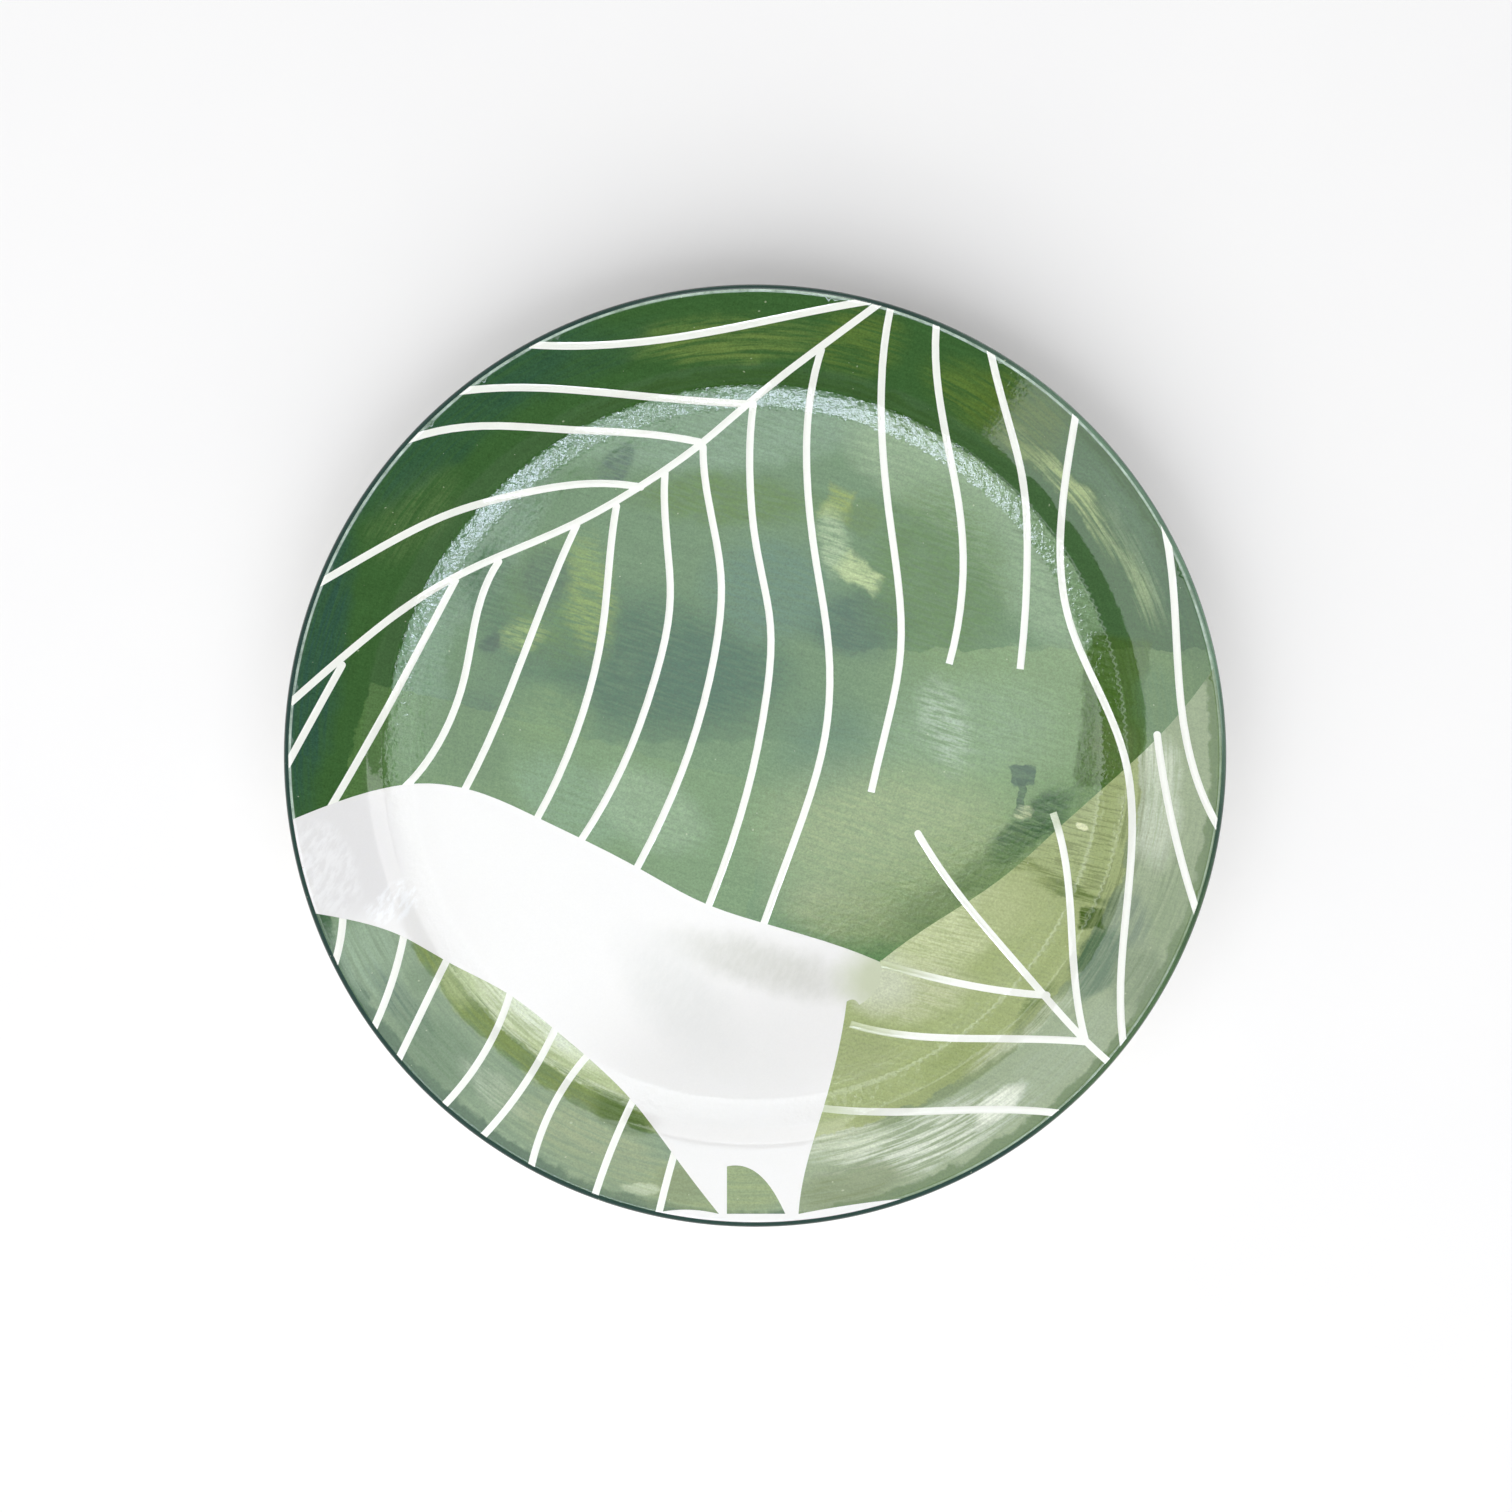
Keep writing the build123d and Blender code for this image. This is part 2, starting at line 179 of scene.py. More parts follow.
class Shader:
    """One node tree, and the methods that add nodes to it."""

    def __init__(self, tree: bpy.types.NodeTree) -> None:
        """Take over a tree and empty it."""
        self.tree = tree
        self.tree.nodes.clear()
        self._place: Optional[bpy.types.NodeSocket] = None

    def node(self, kind: str, settings: dict, inputs: dict) -> bpy.types.Node:
        """Add a node.

        Args:
            kind: the node's type.
            settings: its properties, set first. The key "stops" holds a colour ramp's stops.
            inputs: a value, a Value, a Colour or a socket for each input, by name or number.

        Returns:
            The new node.
        """
        made = self.tree.nodes.new(kind)
        for name, setting in settings.items():
            setattr(made, name, setting)
        for name, given in inputs.items():
            self.feed(made.inputs[name], given)
        return made

    def feed(self, socket: bpy.types.NodeSocket, given: object) -> None:
        """Link a socket to what is given, or set its value.

        Args:
            socket: the input.
            given: a Value, a Colour, a socket, a plain colour or a plain value.
        """
        source = given.socket if isinstance(given, (Value, Colour)) else given
        if isinstance(source, bpy.types.NodeSocket):
            self.tree.links.new(source, socket)
        elif isinstance(source, tuple) and len(source) == 3 and socket.type == "RGBA":
            socket.default_value = (*source, 1.0)
        else:
            socket.default_value = source

    def value(self, kind: str, settings: dict, inputs: dict, output: Union[int, str] = 0) -> Value:
        """Add a node and take one of its outputs as a number."""
        return Value(self, self.node(kind, settings, inputs).outputs[output])

    def math(self, operation: str, *numbers: Number) -> Value:
        """Add a Math node."""
        return self.value("ShaderNodeMath", {"operation": operation}, dict(enumerate(numbers)))

    def vector(self, operation: str, *inputs: object) -> bpy.types.NodeSocket:
        """Add a Vector Math node and return its vector."""
        node = self.node("ShaderNodeVectorMath", {"operation": operation}, dict(enumerate(inputs)))
        return node.outputs[0]

    def place(self) -> bpy.types.NodeSocket:
        """The point of the surface in the plate's own frame, in millimetres."""
        if self._place is None:
            point = self.node("ShaderNodeTexCoord", {}, {}).outputs["Object"]
            self._place = self.vector("MULTIPLY", point, (1 / MM, 1 / MM, 1 / MM))
        return self._place

    def axes(self, vector: bpy.types.NodeSocket) -> tuple[Value, Value, Value]:
        """The three numbers of a vector."""
        node = self.node("ShaderNodeSeparateXYZ", {}, {0: vector})
        return Value(self, node.outputs[0]), Value(self, node.outputs[1]), Value(self, node.outputs[2])

    def joined(self, x: Number, y: Number, z: Number) -> bpy.types.NodeSocket:
        """A vector of three numbers."""
        return self.node("ShaderNodeCombineXYZ", {}, {0: x, 1: y, 2: z}).outputs[0]

    def noise(self, vector: object, grain: float, detail: float = 2.0, rough: float = 0.5) -> Value:
        """Noise from 0 to 1 over a vector in millimetres.

        Args:
            vector: where the noise is read.
            grain: the size of its blotches, in millimetres.
            detail: how many finer layers it has.
            rough: how strong the finer layers are.

        Returns:
            The noise.
        """
        inputs = {"Vector": vector, "Scale": 1 / grain, "Detail": detail, "Roughness": rough}
        return self.value("ShaderNodeTexNoise", {}, inputs)

    def bump(self, height_mm: Value) -> bpy.types.NodeSocket:
        """A normal from a height in millimetres."""
        inputs = {"Strength": 1.0, "Distance": MM, "Height": height_mm}
        return self.node("ShaderNodeBump", {}, inputs).outputs[0]

    def surface(self, inputs: dict) -> None:
        """End the tree in a Principled shader with these inputs."""
        made = self.node("ShaderNodeBsdfPrincipled", {}, inputs)
        self.node("ShaderNodeOutputMaterial", {}, {"Surface": made.outputs[0]})


def new_material(name: str) -> tuple[bpy.types.Material, Shader]:
    """A material and the shader that fills it."""
    material = bpy.data.materials.new(name)
    material.use_nodes = True
    return material, Shader(material.node_tree)


def rgb(red: int, green: int, blue: int) -> Rgb:
    """A colour for the shaders.

    Args:
        red: its display value, 0 to 255.
        green: the same for green.
        blue: the same for blue.

    Returns:
        The three parts as amounts of light, 0 to 1.
    """
    parts = []
    for part in (red / 255, green / 255, blue / 255):
        parts.append(part / 12.92 if part <= 0.04045 else ((part + 0.055) / 1.055) ** 2.4)
    return (parts[0], parts[1], parts[2])


# ---------------------------------------------------------------- the plate's section


def sine(degrees: float) -> float:
    """Sine of an angle in degrees."""
    return math.sin(math.radians(degrees))


def cosine(degrees: float) -> float:
    """Cosine of an angle in degrees."""
    return math.cos(math.radians(degrees))


class Walk:
    """A section as (radius, height) points, walked in straights and arcs."""

    STRAIGHT_STEP = 2.0 * MM
    ARC_STEP = 1.5

    def __init__(self, r: float, z: float, heading: float) -> None:
        """Start at a point, facing a heading in degrees: 0 is outward, 90 is up."""
        self.points: Section = [(r, z)]
        self.heading = heading

    def forward(self, length: float) -> "Walk":
        """Go straight on.

        Args:
            length: how far, in metres.

        Returns:
            The same walk.
        """
        r, z = self.points[-1]
        steps = max(1, round(length / self.STRAIGHT_STEP))
        for step in range(1, steps + 1):
            gone = length * step / steps
            self.points.append((r + gone * cosine(self.heading), z + gone * sine(self.heading)))
        return self

    def turn(self, angle: float, radius: float) -> "Walk":
        """Follow an arc.

        Args:
            angle: how far it turns, in degrees, to the left when it is positive.
            radius: its radius in metres.

        Returns:
            The same walk.
        """
        r, z = self.points[-1]
        side = math.copysign(1.0, angle)
        centre_r = r - side * radius * sine(self.heading)
        centre_z = z + side * radius * cosine(self.heading)
        steps = max(2, math.ceil(abs(angle) / self.ARC_STEP))
        for step in range(1, steps + 1):
            facing = self.heading + angle * step / steps
            r = centre_r + side * radius * sine(facing)
            z = centre_z - side * radius * cosine(facing)
            self.points.append((r, z))
        self.heading += angle
        return self


@dataclass(frozen=True)
class PlateShape:
    """The glazed plate's section. Radii of arcs are those of the outer surface of the glaze."""

    radius: float
    floor_z: float
    base_z: float
    floor_radius: float = 99.7 * MM
    first_sweep: float = 2.0 * MM
    second_sweep: float = 143.0 * MM
    fillet_radius: float = 2.7 * MM
    wall_length: float = 3.0 * MM
    shoulder_radius: float = 8.8 * MM
    lip_radius: float = 1.8 * MM
    base_radius: float = 101.0 * MM
    base_fillet: float = 12.8 * MM
    under_shoulder: float = 13.2 * MM
    first_angle: float = 8.5
    sweep_angle: float = 11.5
    wall_angle: float = 27.0
    flange_angle: float = 16.0
    under_wall_angle: float = 32.0
    under_angle: float = 19.0
    wrap_angle: float = 60.0
    band_angle: float = 168.0
    waver_depth: float = 0.1 * MM

    OVER_THE_LIP = 45.0
    SLOPE_STEP = 0.5 * MM
    MEAN_WAVE = 0.5
    # waves in one turn of the plate, and the share and phase of each
    WAVES = ((2, 0.22, 0.7), (3, 0.16, -1.1), (7, 0.12, 0.0))

    def to_flange(self) -> Walk:
        """Walk from the centre of the face out to the start of the flange."""
        walk = Walk(0.0, self.floor_z, 0.0).forward(self.floor_radius)
        walk.turn(self.first_angle, self.first_sweep)
        walk.turn(self.sweep_angle - self.first_angle, self.second_sweep)
        walk.turn(self.wall_angle - self.sweep_angle, self.fillet_radius)
        walk.forward(self.wall_length)
        return walk.turn(self.flange_angle - self.wall_angle, self.shoulder_radius)

    def to_lip(self) -> Walk:
        """Walk from the centre of the face out to the start of the lip's round."""
        walk = self.to_flange()
        lip_start = self.radius - self.lip_radius * (1 + sine(self.flange_angle))
        return walk.forward((lip_start - walk.points[-1][0]) / cosine(self.flange_angle))

    def lip_point(self, angle: float) -> tuple[float, float]:
        """The point at an angle round the lip.

        Args:
            angle: 90 is the outermost point, 180 the crest.

        Returns:
            Its radius and height.
        """
        r, z = self.to_lip().points[-1]
        centre_r = r + self.lip_radius * sine(self.flange_angle)
        centre_z = z - self.lip_radius * cosine(self.flange_angle)
        return centre_r + self.lip_radius * sine(angle), centre_z - self.lip_radius * cosine(angle)

    def lip(self, start: float, end: float) -> Section:
        """The stretch of the lip from one angle to a smaller one."""
        r, z = self.lip_point(start)
        return Walk(r, z, start - 180).turn(end - start, self.lip_radius).points

    def back(self, foot_r: float) -> Section:
        """The back from the wrap line in to the foot ring.

        Args:
            foot_r: radius at which the flat of the base meets the foot.

        Returns:
            The points of the section.
        """
        under_r, under_z = self.lip_point(self.under_angle)
        run = under_r - self.base_radius - self.base_fillet * sine(self.under_wall_angle)
        run -= self.under_shoulder * (sine(self.under_wall_angle) - sine(self.under_angle))
        rise = under_z - self.base_z - self.base_fillet * (1 - cosine(self.under_wall_angle))
        rise -= self.under_shoulder * (cosine(self.under_angle) - cosine(self.under_wall_angle))
        spread = sine(self.under_wall_angle - self.under_angle)
        wall = (rise * cosine(self.under_angle) - run * sine(self.under_angle)) / spread
        flange = (run * sine(self.under_wall_angle) - rise * cosine(self.under_wall_angle)) / spread
        r, z = self.lip_point(self.wrap_angle)
        walk = Walk(r, z, self.wrap_angle - 180).turn(self.under_angle - self.wrap_angle, self.lip_radius)
        walk.forward(flange)
        walk.turn(self.under_wall_angle - self.under_angle, self.under_shoulder)
        walk.forward(wall)
        walk.turn(-self.under_wall_angle, self.base_fillet)
        walk.forward(walk.points[-1][0] - foot_r)
        return walk.points

    def upper_side(self) -> np.ndarray:
        """The points of the face from the centre out and over the crest of the lip."""
        return np.array(self.to_lip().turn(-self.flange_angle - self.OVER_THE_LIP, self.lip_radius).points)

    def face_height(self, r: np.ndarray) -> np.ndarray:
        """Height of the face at these radii."""
        points = self.upper_side()
        return np.interp(r, points[:, 0], points[:, 1])

    def face_normal(self, x: np.ndarray, y: np.ndarray) -> np.ndarray:
        """Directions square to the face.

        Args:
            x: the places' first coordinates.
            y: their second coordinates.

        Returns:
            One direction for each place, not brought to unit length.
        """
        points = self.upper_side()
        middle = (points[1:, 0] + points[:-1, 0]) / 2
        slope = np.diff(points[:, 1]) / np.diff(points[:, 0])
        r = np.maximum(np.hypot(x, y), 1e-6)
        rise = np.interp(r, middle, slope)
        step = self.SLOPE_STEP
        wave_x = (self.waver(x + step, y) - self.waver(x - step, y)) / (2 * step)
        wave_y = (self.waver(x, y + step) - self.waver(x, y - step)) / (2 * step)
        return np.stack([-rise * x / r - wave_x, -rise * y / r - wave_y, np.ones_like(r)], axis=1)

    def waver(self, x: np.ndarray, y: np.ndarray) -> np.ndarray:
        """How far a hand made plate's flange dips below a true circle's.

        Args:
            x: the places' first coordinates.
            y: their second coordinates.

        Returns:
            The dips, below zero, and zero in the well.
        """
        turn = np.arctan2(y, x)
        reach = np.clip((np.hypot(x, y) - self.floor_radius) / (self.radius - self.floor_radius), 0, 1)
        wave = self.MEAN_WAVE
        for count, share, phase in self.WAVES:
            wave = wave + share * np.sin(count * turn + phase)
        return -self.waver_depth * reach * wave


# ---------------------------------------------------------------- meshes


def new_object(
    name: str, points: Iterable, faces: Iterable, material: bpy.types.Material,
    normals: Optional[np.ndarray] = None,
) -> bpy.types.Object:
    """Make a smooth mesh object with sharp corners kept sharp.

    Args:
        name: the piece's name.
        points: its vertices.
        faces: its faces, as vertex numbers.
        material: its finish.
        normals: directions for the vertices of its upper side, which come first, and of its lower side.

    Returns:
        The object, in the scene.
    """
    mesh = bpy.data.meshes.new(name)
    vertices = [tuple(map(float, point)) for point in points]
    mesh.from_pydata(vertices, [], [tuple(map(int, face)) for face in faces])
    mesh.validate()
    mesh.shade_smooth()
    if normals is None:
        mesh.set_sharp_from_angle(angle=math.radians(SHARP_ANGLE))
    else:
        half = len(normals) // 2
        corners = []
        for face in mesh.polygons:
            wall = min(face.vertices) < half <= max(face.vertices)
            corners.extend(face.normal if wall else normals[index] for index in face.vertices)
        mesh.normals_split_custom_set([tuple(map(float, corner)) for corner in corners])
    mesh.materials.append(material)
    made = bpy.data.objects.new(name, mesh)
    bpy.context.scene.collection.objects.link(made)
    return made


def inset(section: Section, depth: float) -> Section:
    """Move a section to its right-hand side.

    Args:
        section: its points.
        depth: how far they move.

    Returns:
        The moved points.
    """
    points = np.array(section)
    along = np.gradient(points, axis=0)
    along /= np.linalg.norm(along, axis=1)[:, None]
    moved = points + depth * np.stack([along[:, 1], -along[:, 0]], axis=1)
    moved[:, 0] = np.maximum(moved[:, 0], 0.0)
    return [tuple(point) for point in moved]


class Lathe:
    """Turns closed sections into solids of revolution that follow the plate's waver."""

    SEGMENTS = 384
    POLE = 1e-7

    def __init__(self, shape: PlateShape) -> None:
        """Keep the plate whose waver the pieces follow."""
        self.shape = shape

    def turned(self, name: str, section: Section, material: bpy.types.Material) -> bpy.types.Object:
        """Turn a closed section.

        Args:
            name: the piece's name.
            section: its points in order. Where it touches the axis it has a point there.
            material: its finish.

        Returns:
            The solid.
        """
        turns = np.linspace(0, 2 * math.pi, self.SEGMENTS, endpoint=False)
        rings = []
        points = []
        for r, z in section:
            if r < self.POLE:
                rings.append(np.full(self.SEGMENTS, len(points)))
                points.append((0.0, 0.0, z))
                continue
            rings.append(np.arange(self.SEGMENTS) + len(points))
            x, y = r * np.cos(turns), r * np.sin(turns)
            points.extend(zip(x, y, z + self.shape.waver(x, y)))
        faces = []
        for ring, after in zip(rings, rings[1:] + rings[:1]):
            for step in range(self.SEGMENTS):
                beside = (step + 1) % self.SEGMENTS
                corners = (ring[step], ring[beside], after[beside], after[step])
                face = tuple(dict.fromkeys(corners))
                if len(face) > 2:
                    faces.append(face)
        return new_object(name, points, faces, material)


@dataclass(frozen=True)
class Relief:
    """How a coat's surface stands against the plate's face, and how far it reaches over its border."""

    edge: float
    top: float
    width: float
    overlap: float
    bottom: float = -0.35 * MM

    def height(self, inside: np.ndarray) -> np.ndarray:
        """Height over the face at these distances inside the border."""
        share = np.clip(inside / self.width, 0, 1)
        return self.edge + (self.top - self.edge) * (1 - (1 - share) ** 2)

    def slope(self, inside: np.ndarray) -> np.ndarray:
        """How steeply the surface rises at these distances inside the border."""
        share = np.clip(inside / self.width, 0, 1)
        return 2 * (self.top - self.edge) / self.width * (1 - share)


def closed(border: list) -> list:
    """Join the loose ends of border lines, so that every line is a loop.

    Args:
        border: directed edges between points.

    Returns:
        The edges, with one more for each gap.
    """
    leaving = Counter(start for start, _ in border)
    leaving.subtract(end for _, end in border)
    heads = [key for key, count in sorted(leaving.items()) if count > 0]
    tails = [key for key, count in sorted(leaving.items()) if count < 0]
    for tail in tails:
        head = min(heads, key=lambda key: math.dist(key, tail))
        heads.remove(head)
        border.append((tail, head))
    return border


class Patch:
    """A coat over part of the face, cut to the outline of one CAD node."""

    EDGE_STEP = 0.8 * MM
    UP = 0.6
    KEYS = 1e6  # CAD vertices are matched to a micrometre
    KEY_SIZE = 1e-6
    FINE_KEYS = 1e7
    SHARPEST = 0.8  # keeps a spike off sharp corners
    BATCH = 4000
    CROWDED = 0.18 * MM
    LIP_CALM = (1.5 * MM, 3.0 * MM)
    FIELD_STEP = 2.2

    def __init__(self, shape: PlateShape, node: str, relief: Relief, inner_lines: Sequence[float]) -> None:
        """Read the node's outline.

        Args:
            shape: the plate it lies on.
            node: the CAD node.
            relief: how its surface stands near its border.
            inner_lines: distances from the border at which the mesh has lines of points.
        """
        self.shape = shape
        self.relief = relief
        self.inner_lines = inner_lines
        self.starts, self.ends = self._border(frame["nodes"][node].data)

    def _border(self, mesh: bpy.types.Mesh) -> tuple[np.ndarray, np.ndarray]:
        """Find the directed border edges of a node's upper side, widened by the relief's overlap.

        Args:
            mesh: the node's mesh.

        Returns:
            The edges' starts and their ends.
        """
        keys = [tuple(round(part * self.KEYS) for part in vertex.co) for vertex in mesh.vertices]
        edges = set()
        for face in mesh.polygons:
            if face.normal.z > self.UP:
                corners = [keys[index] for index in face.vertices]
                edges.update(zip(corners, corners[1:] + corners[:1]))
        border = closed(sorted(edge for edge in edges if (edge[1], edge[0]) not in edges))
        outward: dict = {}
        for start, end in border:
            along = Vector((end[0] - start[0], end[1] - start[1]))
            if along.length > 0:
                side = Vector((along.y, -along.x)).normalized()
                outward.setdefault(start, []).append(side)
                outward.setdefault(end, []).append(side)
        moved = {}
        for key, sides in outward.items():
            middle = sum(sides, Vector((0.0, 0.0)))
            spread = max(middle.length, self.SHARPEST)
            shift = middle * (len(sides) * self.relief.overlap / spread**2)
            moved[key] = Vector((key[0], key[1])) * self.KEY_SIZE + shift
        kept = [(start, end) for start, end in border if start in moved and end in moved]
        starts = np.array([moved[start] for start, end in kept])
        ends = np.array([moved[end] for start, end in kept])
        return starts, ends

    def _inside(self, points: np.ndarray) -> np.ndarray:
        """Tell which points lie inside the border.

        Args:
            points: places in plan.

        Returns:
            True for each point inside.
        """
        inside = np.zeros(len(points), bool)
        x0, y0, x1, y1 = self.starts[:, 0], self.starts[:, 1], self.ends[:, 0], self.ends[:, 1]
        rise = np.where(np.abs(y1 - y0) < 1e-12, 1e-12, y1 - y0)
        for first in range(0, len(points), self.BATCH):
            batch = points[first:first + self.BATCH]
            x, y = batch[:, :1], batch[:, 1:]
            spans = (y0 > y) != (y1 > y)
            crossed = x < (x1 - x0) * (y - y0) / rise + x0
            inside[first:first + self.BATCH] = (spans & crossed).sum(axis=1) % 2 == 1
        return inside

    def _divided(self) -> tuple[np.ndarray, np.ndarray, np.ndarray]:
        """Border points a short step apart, the edges between them, and each one's inward direction."""
        points: list = []
        edges: list = []
        inward: list = []
        numbers: dict = {}

        def number(point: np.ndarray, side: np.ndarray) -> int:
            """Find the number of a border point, and add the point if it is new.

            Args:
                point: where it is.
                side: its inward direction.

            Returns:
                Its number.
            """
            key = (round(point[0] * self.FINE_KEYS), round(point[1] * self.FINE_KEYS))
            if key not in numbers:
                numbers[key] = len(points)
                points.append(point)
                inward.append(side)
            return numbers[key]

        for start, end in zip(self.starts, self.ends):
            length = np.linalg.norm(end - start)
            if length < 1e-9:
                continue
            side = np.array([start[1] - end[1], end[0] - start[0]]) / length
            steps = max(1, round(length / self.EDGE_STEP))
            marks = [number(start + (end - start) * step / steps, side) for step in range(steps + 1)]
            edges.extend(pair for pair in zip(marks, marks[1:]) if pair[0] != pair[1])
        return np.array(points), np.array(edges), np.array(inward)

    def _field(self) -> np.ndarray:
        """Points on rings over the face, close together where its section bends."""
        bend = [96.0, 97.5, 99.0, 99.65, 100.0, *np.arange(101.0, 113.0, 1.0)]
        well, flange = np.arange(2.5, 95.0, 2.5), np.arange(115.0, 134.0, 2.5)
        rings = [*well, *bend, *flange]
        points = []
        for index, ring in enumerate(rings):
            count = max(6, round(2 * math.pi * ring / self.FIELD_STEP))
            turns = 2 * math.pi * (np.arange(count) + 0.5 * (index % 2)) / count
            points.append(np.stack([np.cos(turns), np.sin(turns)], axis=1) * ring * MM)
        return np.concatenate(points)

    def build(self, name: str, material: bpy.types.Material) -> bpy.types.Object:
        """Make the coat as a closed thin solid.

        Args:
            name: the piece's name.
            material: its finish.

        Returns:
            The piece.
        """
        border, edges, inward = self._divided()
        tree = KDTree(len(border))
        for index, point in enumerate(border):
            tree.insert((point[0], point[1], 0.0), index)
        tree.balance()

        def depth(points: np.ndarray) -> np.ndarray:
            """Distance of each point from the border."""
            return np.array([tree.find((x, y, 0.0))[2] for x, y in points])

        def away(points: np.ndarray) -> np.ndarray:
            """Find the direction to each point from the border's nearest point.

            Args:
                points: places in plan.

            Returns:
                Directions of unit length.
            """
            nearest = np.array([tree.find((x, y, 0.0))[1] for x, y in points])
            gap = points - border[nearest]
            length = np.linalg.norm(gap, axis=1)
            return np.where(length[:, None] > 1e-6, gap / np.maximum(length, 1e-9)[:, None], inward[nearest])

        inner = [self._field()]
        for line in self.inner_lines:
            inner.append(border + inward * line)
        points = np.concatenate(inner)
        needed = np.concatenate([np.full(len(inner[0]), max(self.inner_lines) * 1.4)] + [
            np.full(len(border), line * 0.8) for line in self.inner_lines])
        points = points[self._inside(points) & (depth(points) > needed)]
        points = self._thinned(points)
        everything = [Vector(point) for point in np.concatenate([border, points])]
        found = delaunay_2d_cdt(everything, [tuple(map(int, edge)) for edge in edges], [], 0, 1e-8)
        plan = np.array([tuple(point) for point in found[0]])
        faces = np.array([face for face in found[2] if len(face) == 3])
        faces = faces[self._inside(plan[faces].mean(axis=1))]
        return self._solid(name, plan, faces, (depth(plan), away(plan)), material)

    def _thinned(self, points: np.ndarray) -> np.ndarray:
        """Leave out the points that crowd an earlier one.

        Args:
            points: places in plan.

        Returns:
            The points that are kept, in the same order.
        """
        seen = {}
        for index, point in enumerate(points):
            seen.setdefault((round(point[0] / self.CROWDED), round(point[1] / self.CROWDED)), index)
        return points[sorted(seen.values())]

    def _solid(
        self, name: str, plan: np.ndarray, faces: np.ndarray, border: tuple[np.ndarray, np.ndarray],
        material: bpy.types.Material,
    ) -> bpy.types.Object:
        """Close the coat with a lower side and walls.

        Args:
            name: the piece's name.
            plan: the points in plan.
            faces: the upper side's triangles.
            border: each point's distance and direction from the border.
            material: the finish.

        Returns:
            The piece.
        """
        inside, away = border
        used, numbers = np.unique(faces, return_inverse=True)
        faces = numbers.reshape(faces.shape)
        x, y = plan[used, 0], plan[used, 1]
        r = np.hypot(x, y)
        base = self.shape.face_height(r) + self.shape.waver(x, y)
        lip, fade = self.LIP_CALM
        calm = np.clip((self.shape.radius - lip - r) / fade, 0, 1)
        relief = self.relief.height(inside[used])
        top = base + np.where(relief > 0, relief * calm, relief)
        low = base + self.relief.bottom
        upright = self.shape.face_normal(x, y)
        leaning = upright.copy()
        leaning[:, :2] -= away[used] * (self.relief.slope(inside[used]) * calm)[:, None]
        normals = np.concatenate([leaning, -upright])
        normals /= np.linalg.norm(normals, axis=1)[:, None]
        points = np.concatenate([np.stack([x, y, top], axis=1), np.stack([x, y, low], axis=1)])
        sides = set()
        for face in faces:
            sides.update([(face[0], face[1]), (face[1], face[2]), (face[2], face[0])])
        edge = [(start, end) for start, end in sorted(sides) if (end, start) not in sides]
        walls = [(end, start, start + len(x), end + len(x)) for start, end in edge]
        lower = faces[:, ::-1] + len(x)
        return new_object(name, points, [*faces.tolist(), *lower.tolist(), *walls], material, normals)


# ---------------------------------------------------------------- finishes


class WashShape(Enum):
    """The outline of a wash of colour."""

    OVAL = "oval"
    BLOCK = "block"
    BAND = "a block with faded ends"
    ARC = "a stretch of a ring, given by its angle and radius"


class Zone(Enum):
    """The part of the face that a wash keeps to."""

    ALL = "all"
    WELL = "well"
    FLANGE = "flange"


@dataclass
class Ground:
    """What the washes of one finish share: hand-shaken places, brokenness, and the masks of the zones."""

    shader: Shader
    x: Value
    y: Value
    broken: Value
    zones: dict[Zone, Value]


@dataclass(frozen=True)
class Wash:
    """A pool or stroke of colour, laid by hand; a few washes are painted shade, painted highlights or
    painted reflections. Places and sizes are in millimetres, the turn in degrees.
    """

    at: tuple[float, float]
    half: tuple[float, float]
    turn: float
    colour: Rgb
    strength: float = 0.6
    soft: float = 0.5
    shape: WashShape = WashShape.OVAL
    patchy: float = 0.5
    zone: Zone = Zone.ALL

    def laid(self, ground: Ground, under: Colour) -> Colour:
        """Lay the wash over a colour.

        Args:
            ground: what the finish's washes share.
            under: the colour below.

        Returns:
            The colour with the wash on it.
        """
        u, v = self._reach(ground)
        near, far = 1 - self.soft / 2, 1 + self.soft / 2
        if self.shape is WashShape.OVAL:
            mask = u.hypot(v).smooth(far, near)
        elif self.shape is WashShape.BLOCK:
            mask = u.larger(v).smooth(far, near)
        else:
            mask = v.smooth(far, near) * u.smooth(1.0, 0.3)
        if self.zone in ground.zones:
            mask = mask * ground.zones[self.zone]
        cover = (1 - ground.broken * self.patchy).larger(0.0)
        return under.mixed(self.colour, mask * cover * self.strength)

    def _reach(self, ground: Ground) -> tuple[Value, Value]:
        """How far a place is along and across the wash.

        Args:
            ground: what the finish's washes share.

        Returns:
            The two distances, as shares of the wash's half sizes.
        """
        if self.shape is WashShape.ARC:
            angle, radius = self.at
            r = ground.x.hypot(ground.y)
            towards = (ground.x * cosine(angle) + ground.y * sine(angle)) / r
            off = ground.shader.math("ARCCOSINE", towards.smaller(1.0)) * math.degrees(1.0)
            return off / self.half[0], abs(r - radius) / self.half[1]
        across = ground.x - self.at[0]
        up = ground.y - self.at[1]
        u = abs((across * cosine(self.turn) + up * sine(self.turn)) / self.half[0])
        v = abs((up * cosine(self.turn) - across * sine(self.turn)) / self.half[1])
        return u, v


class BrushWay(Enum):
    """Which way the brush went."""

    STRAIGHT = "straight"
    ROUND = "round the plate"


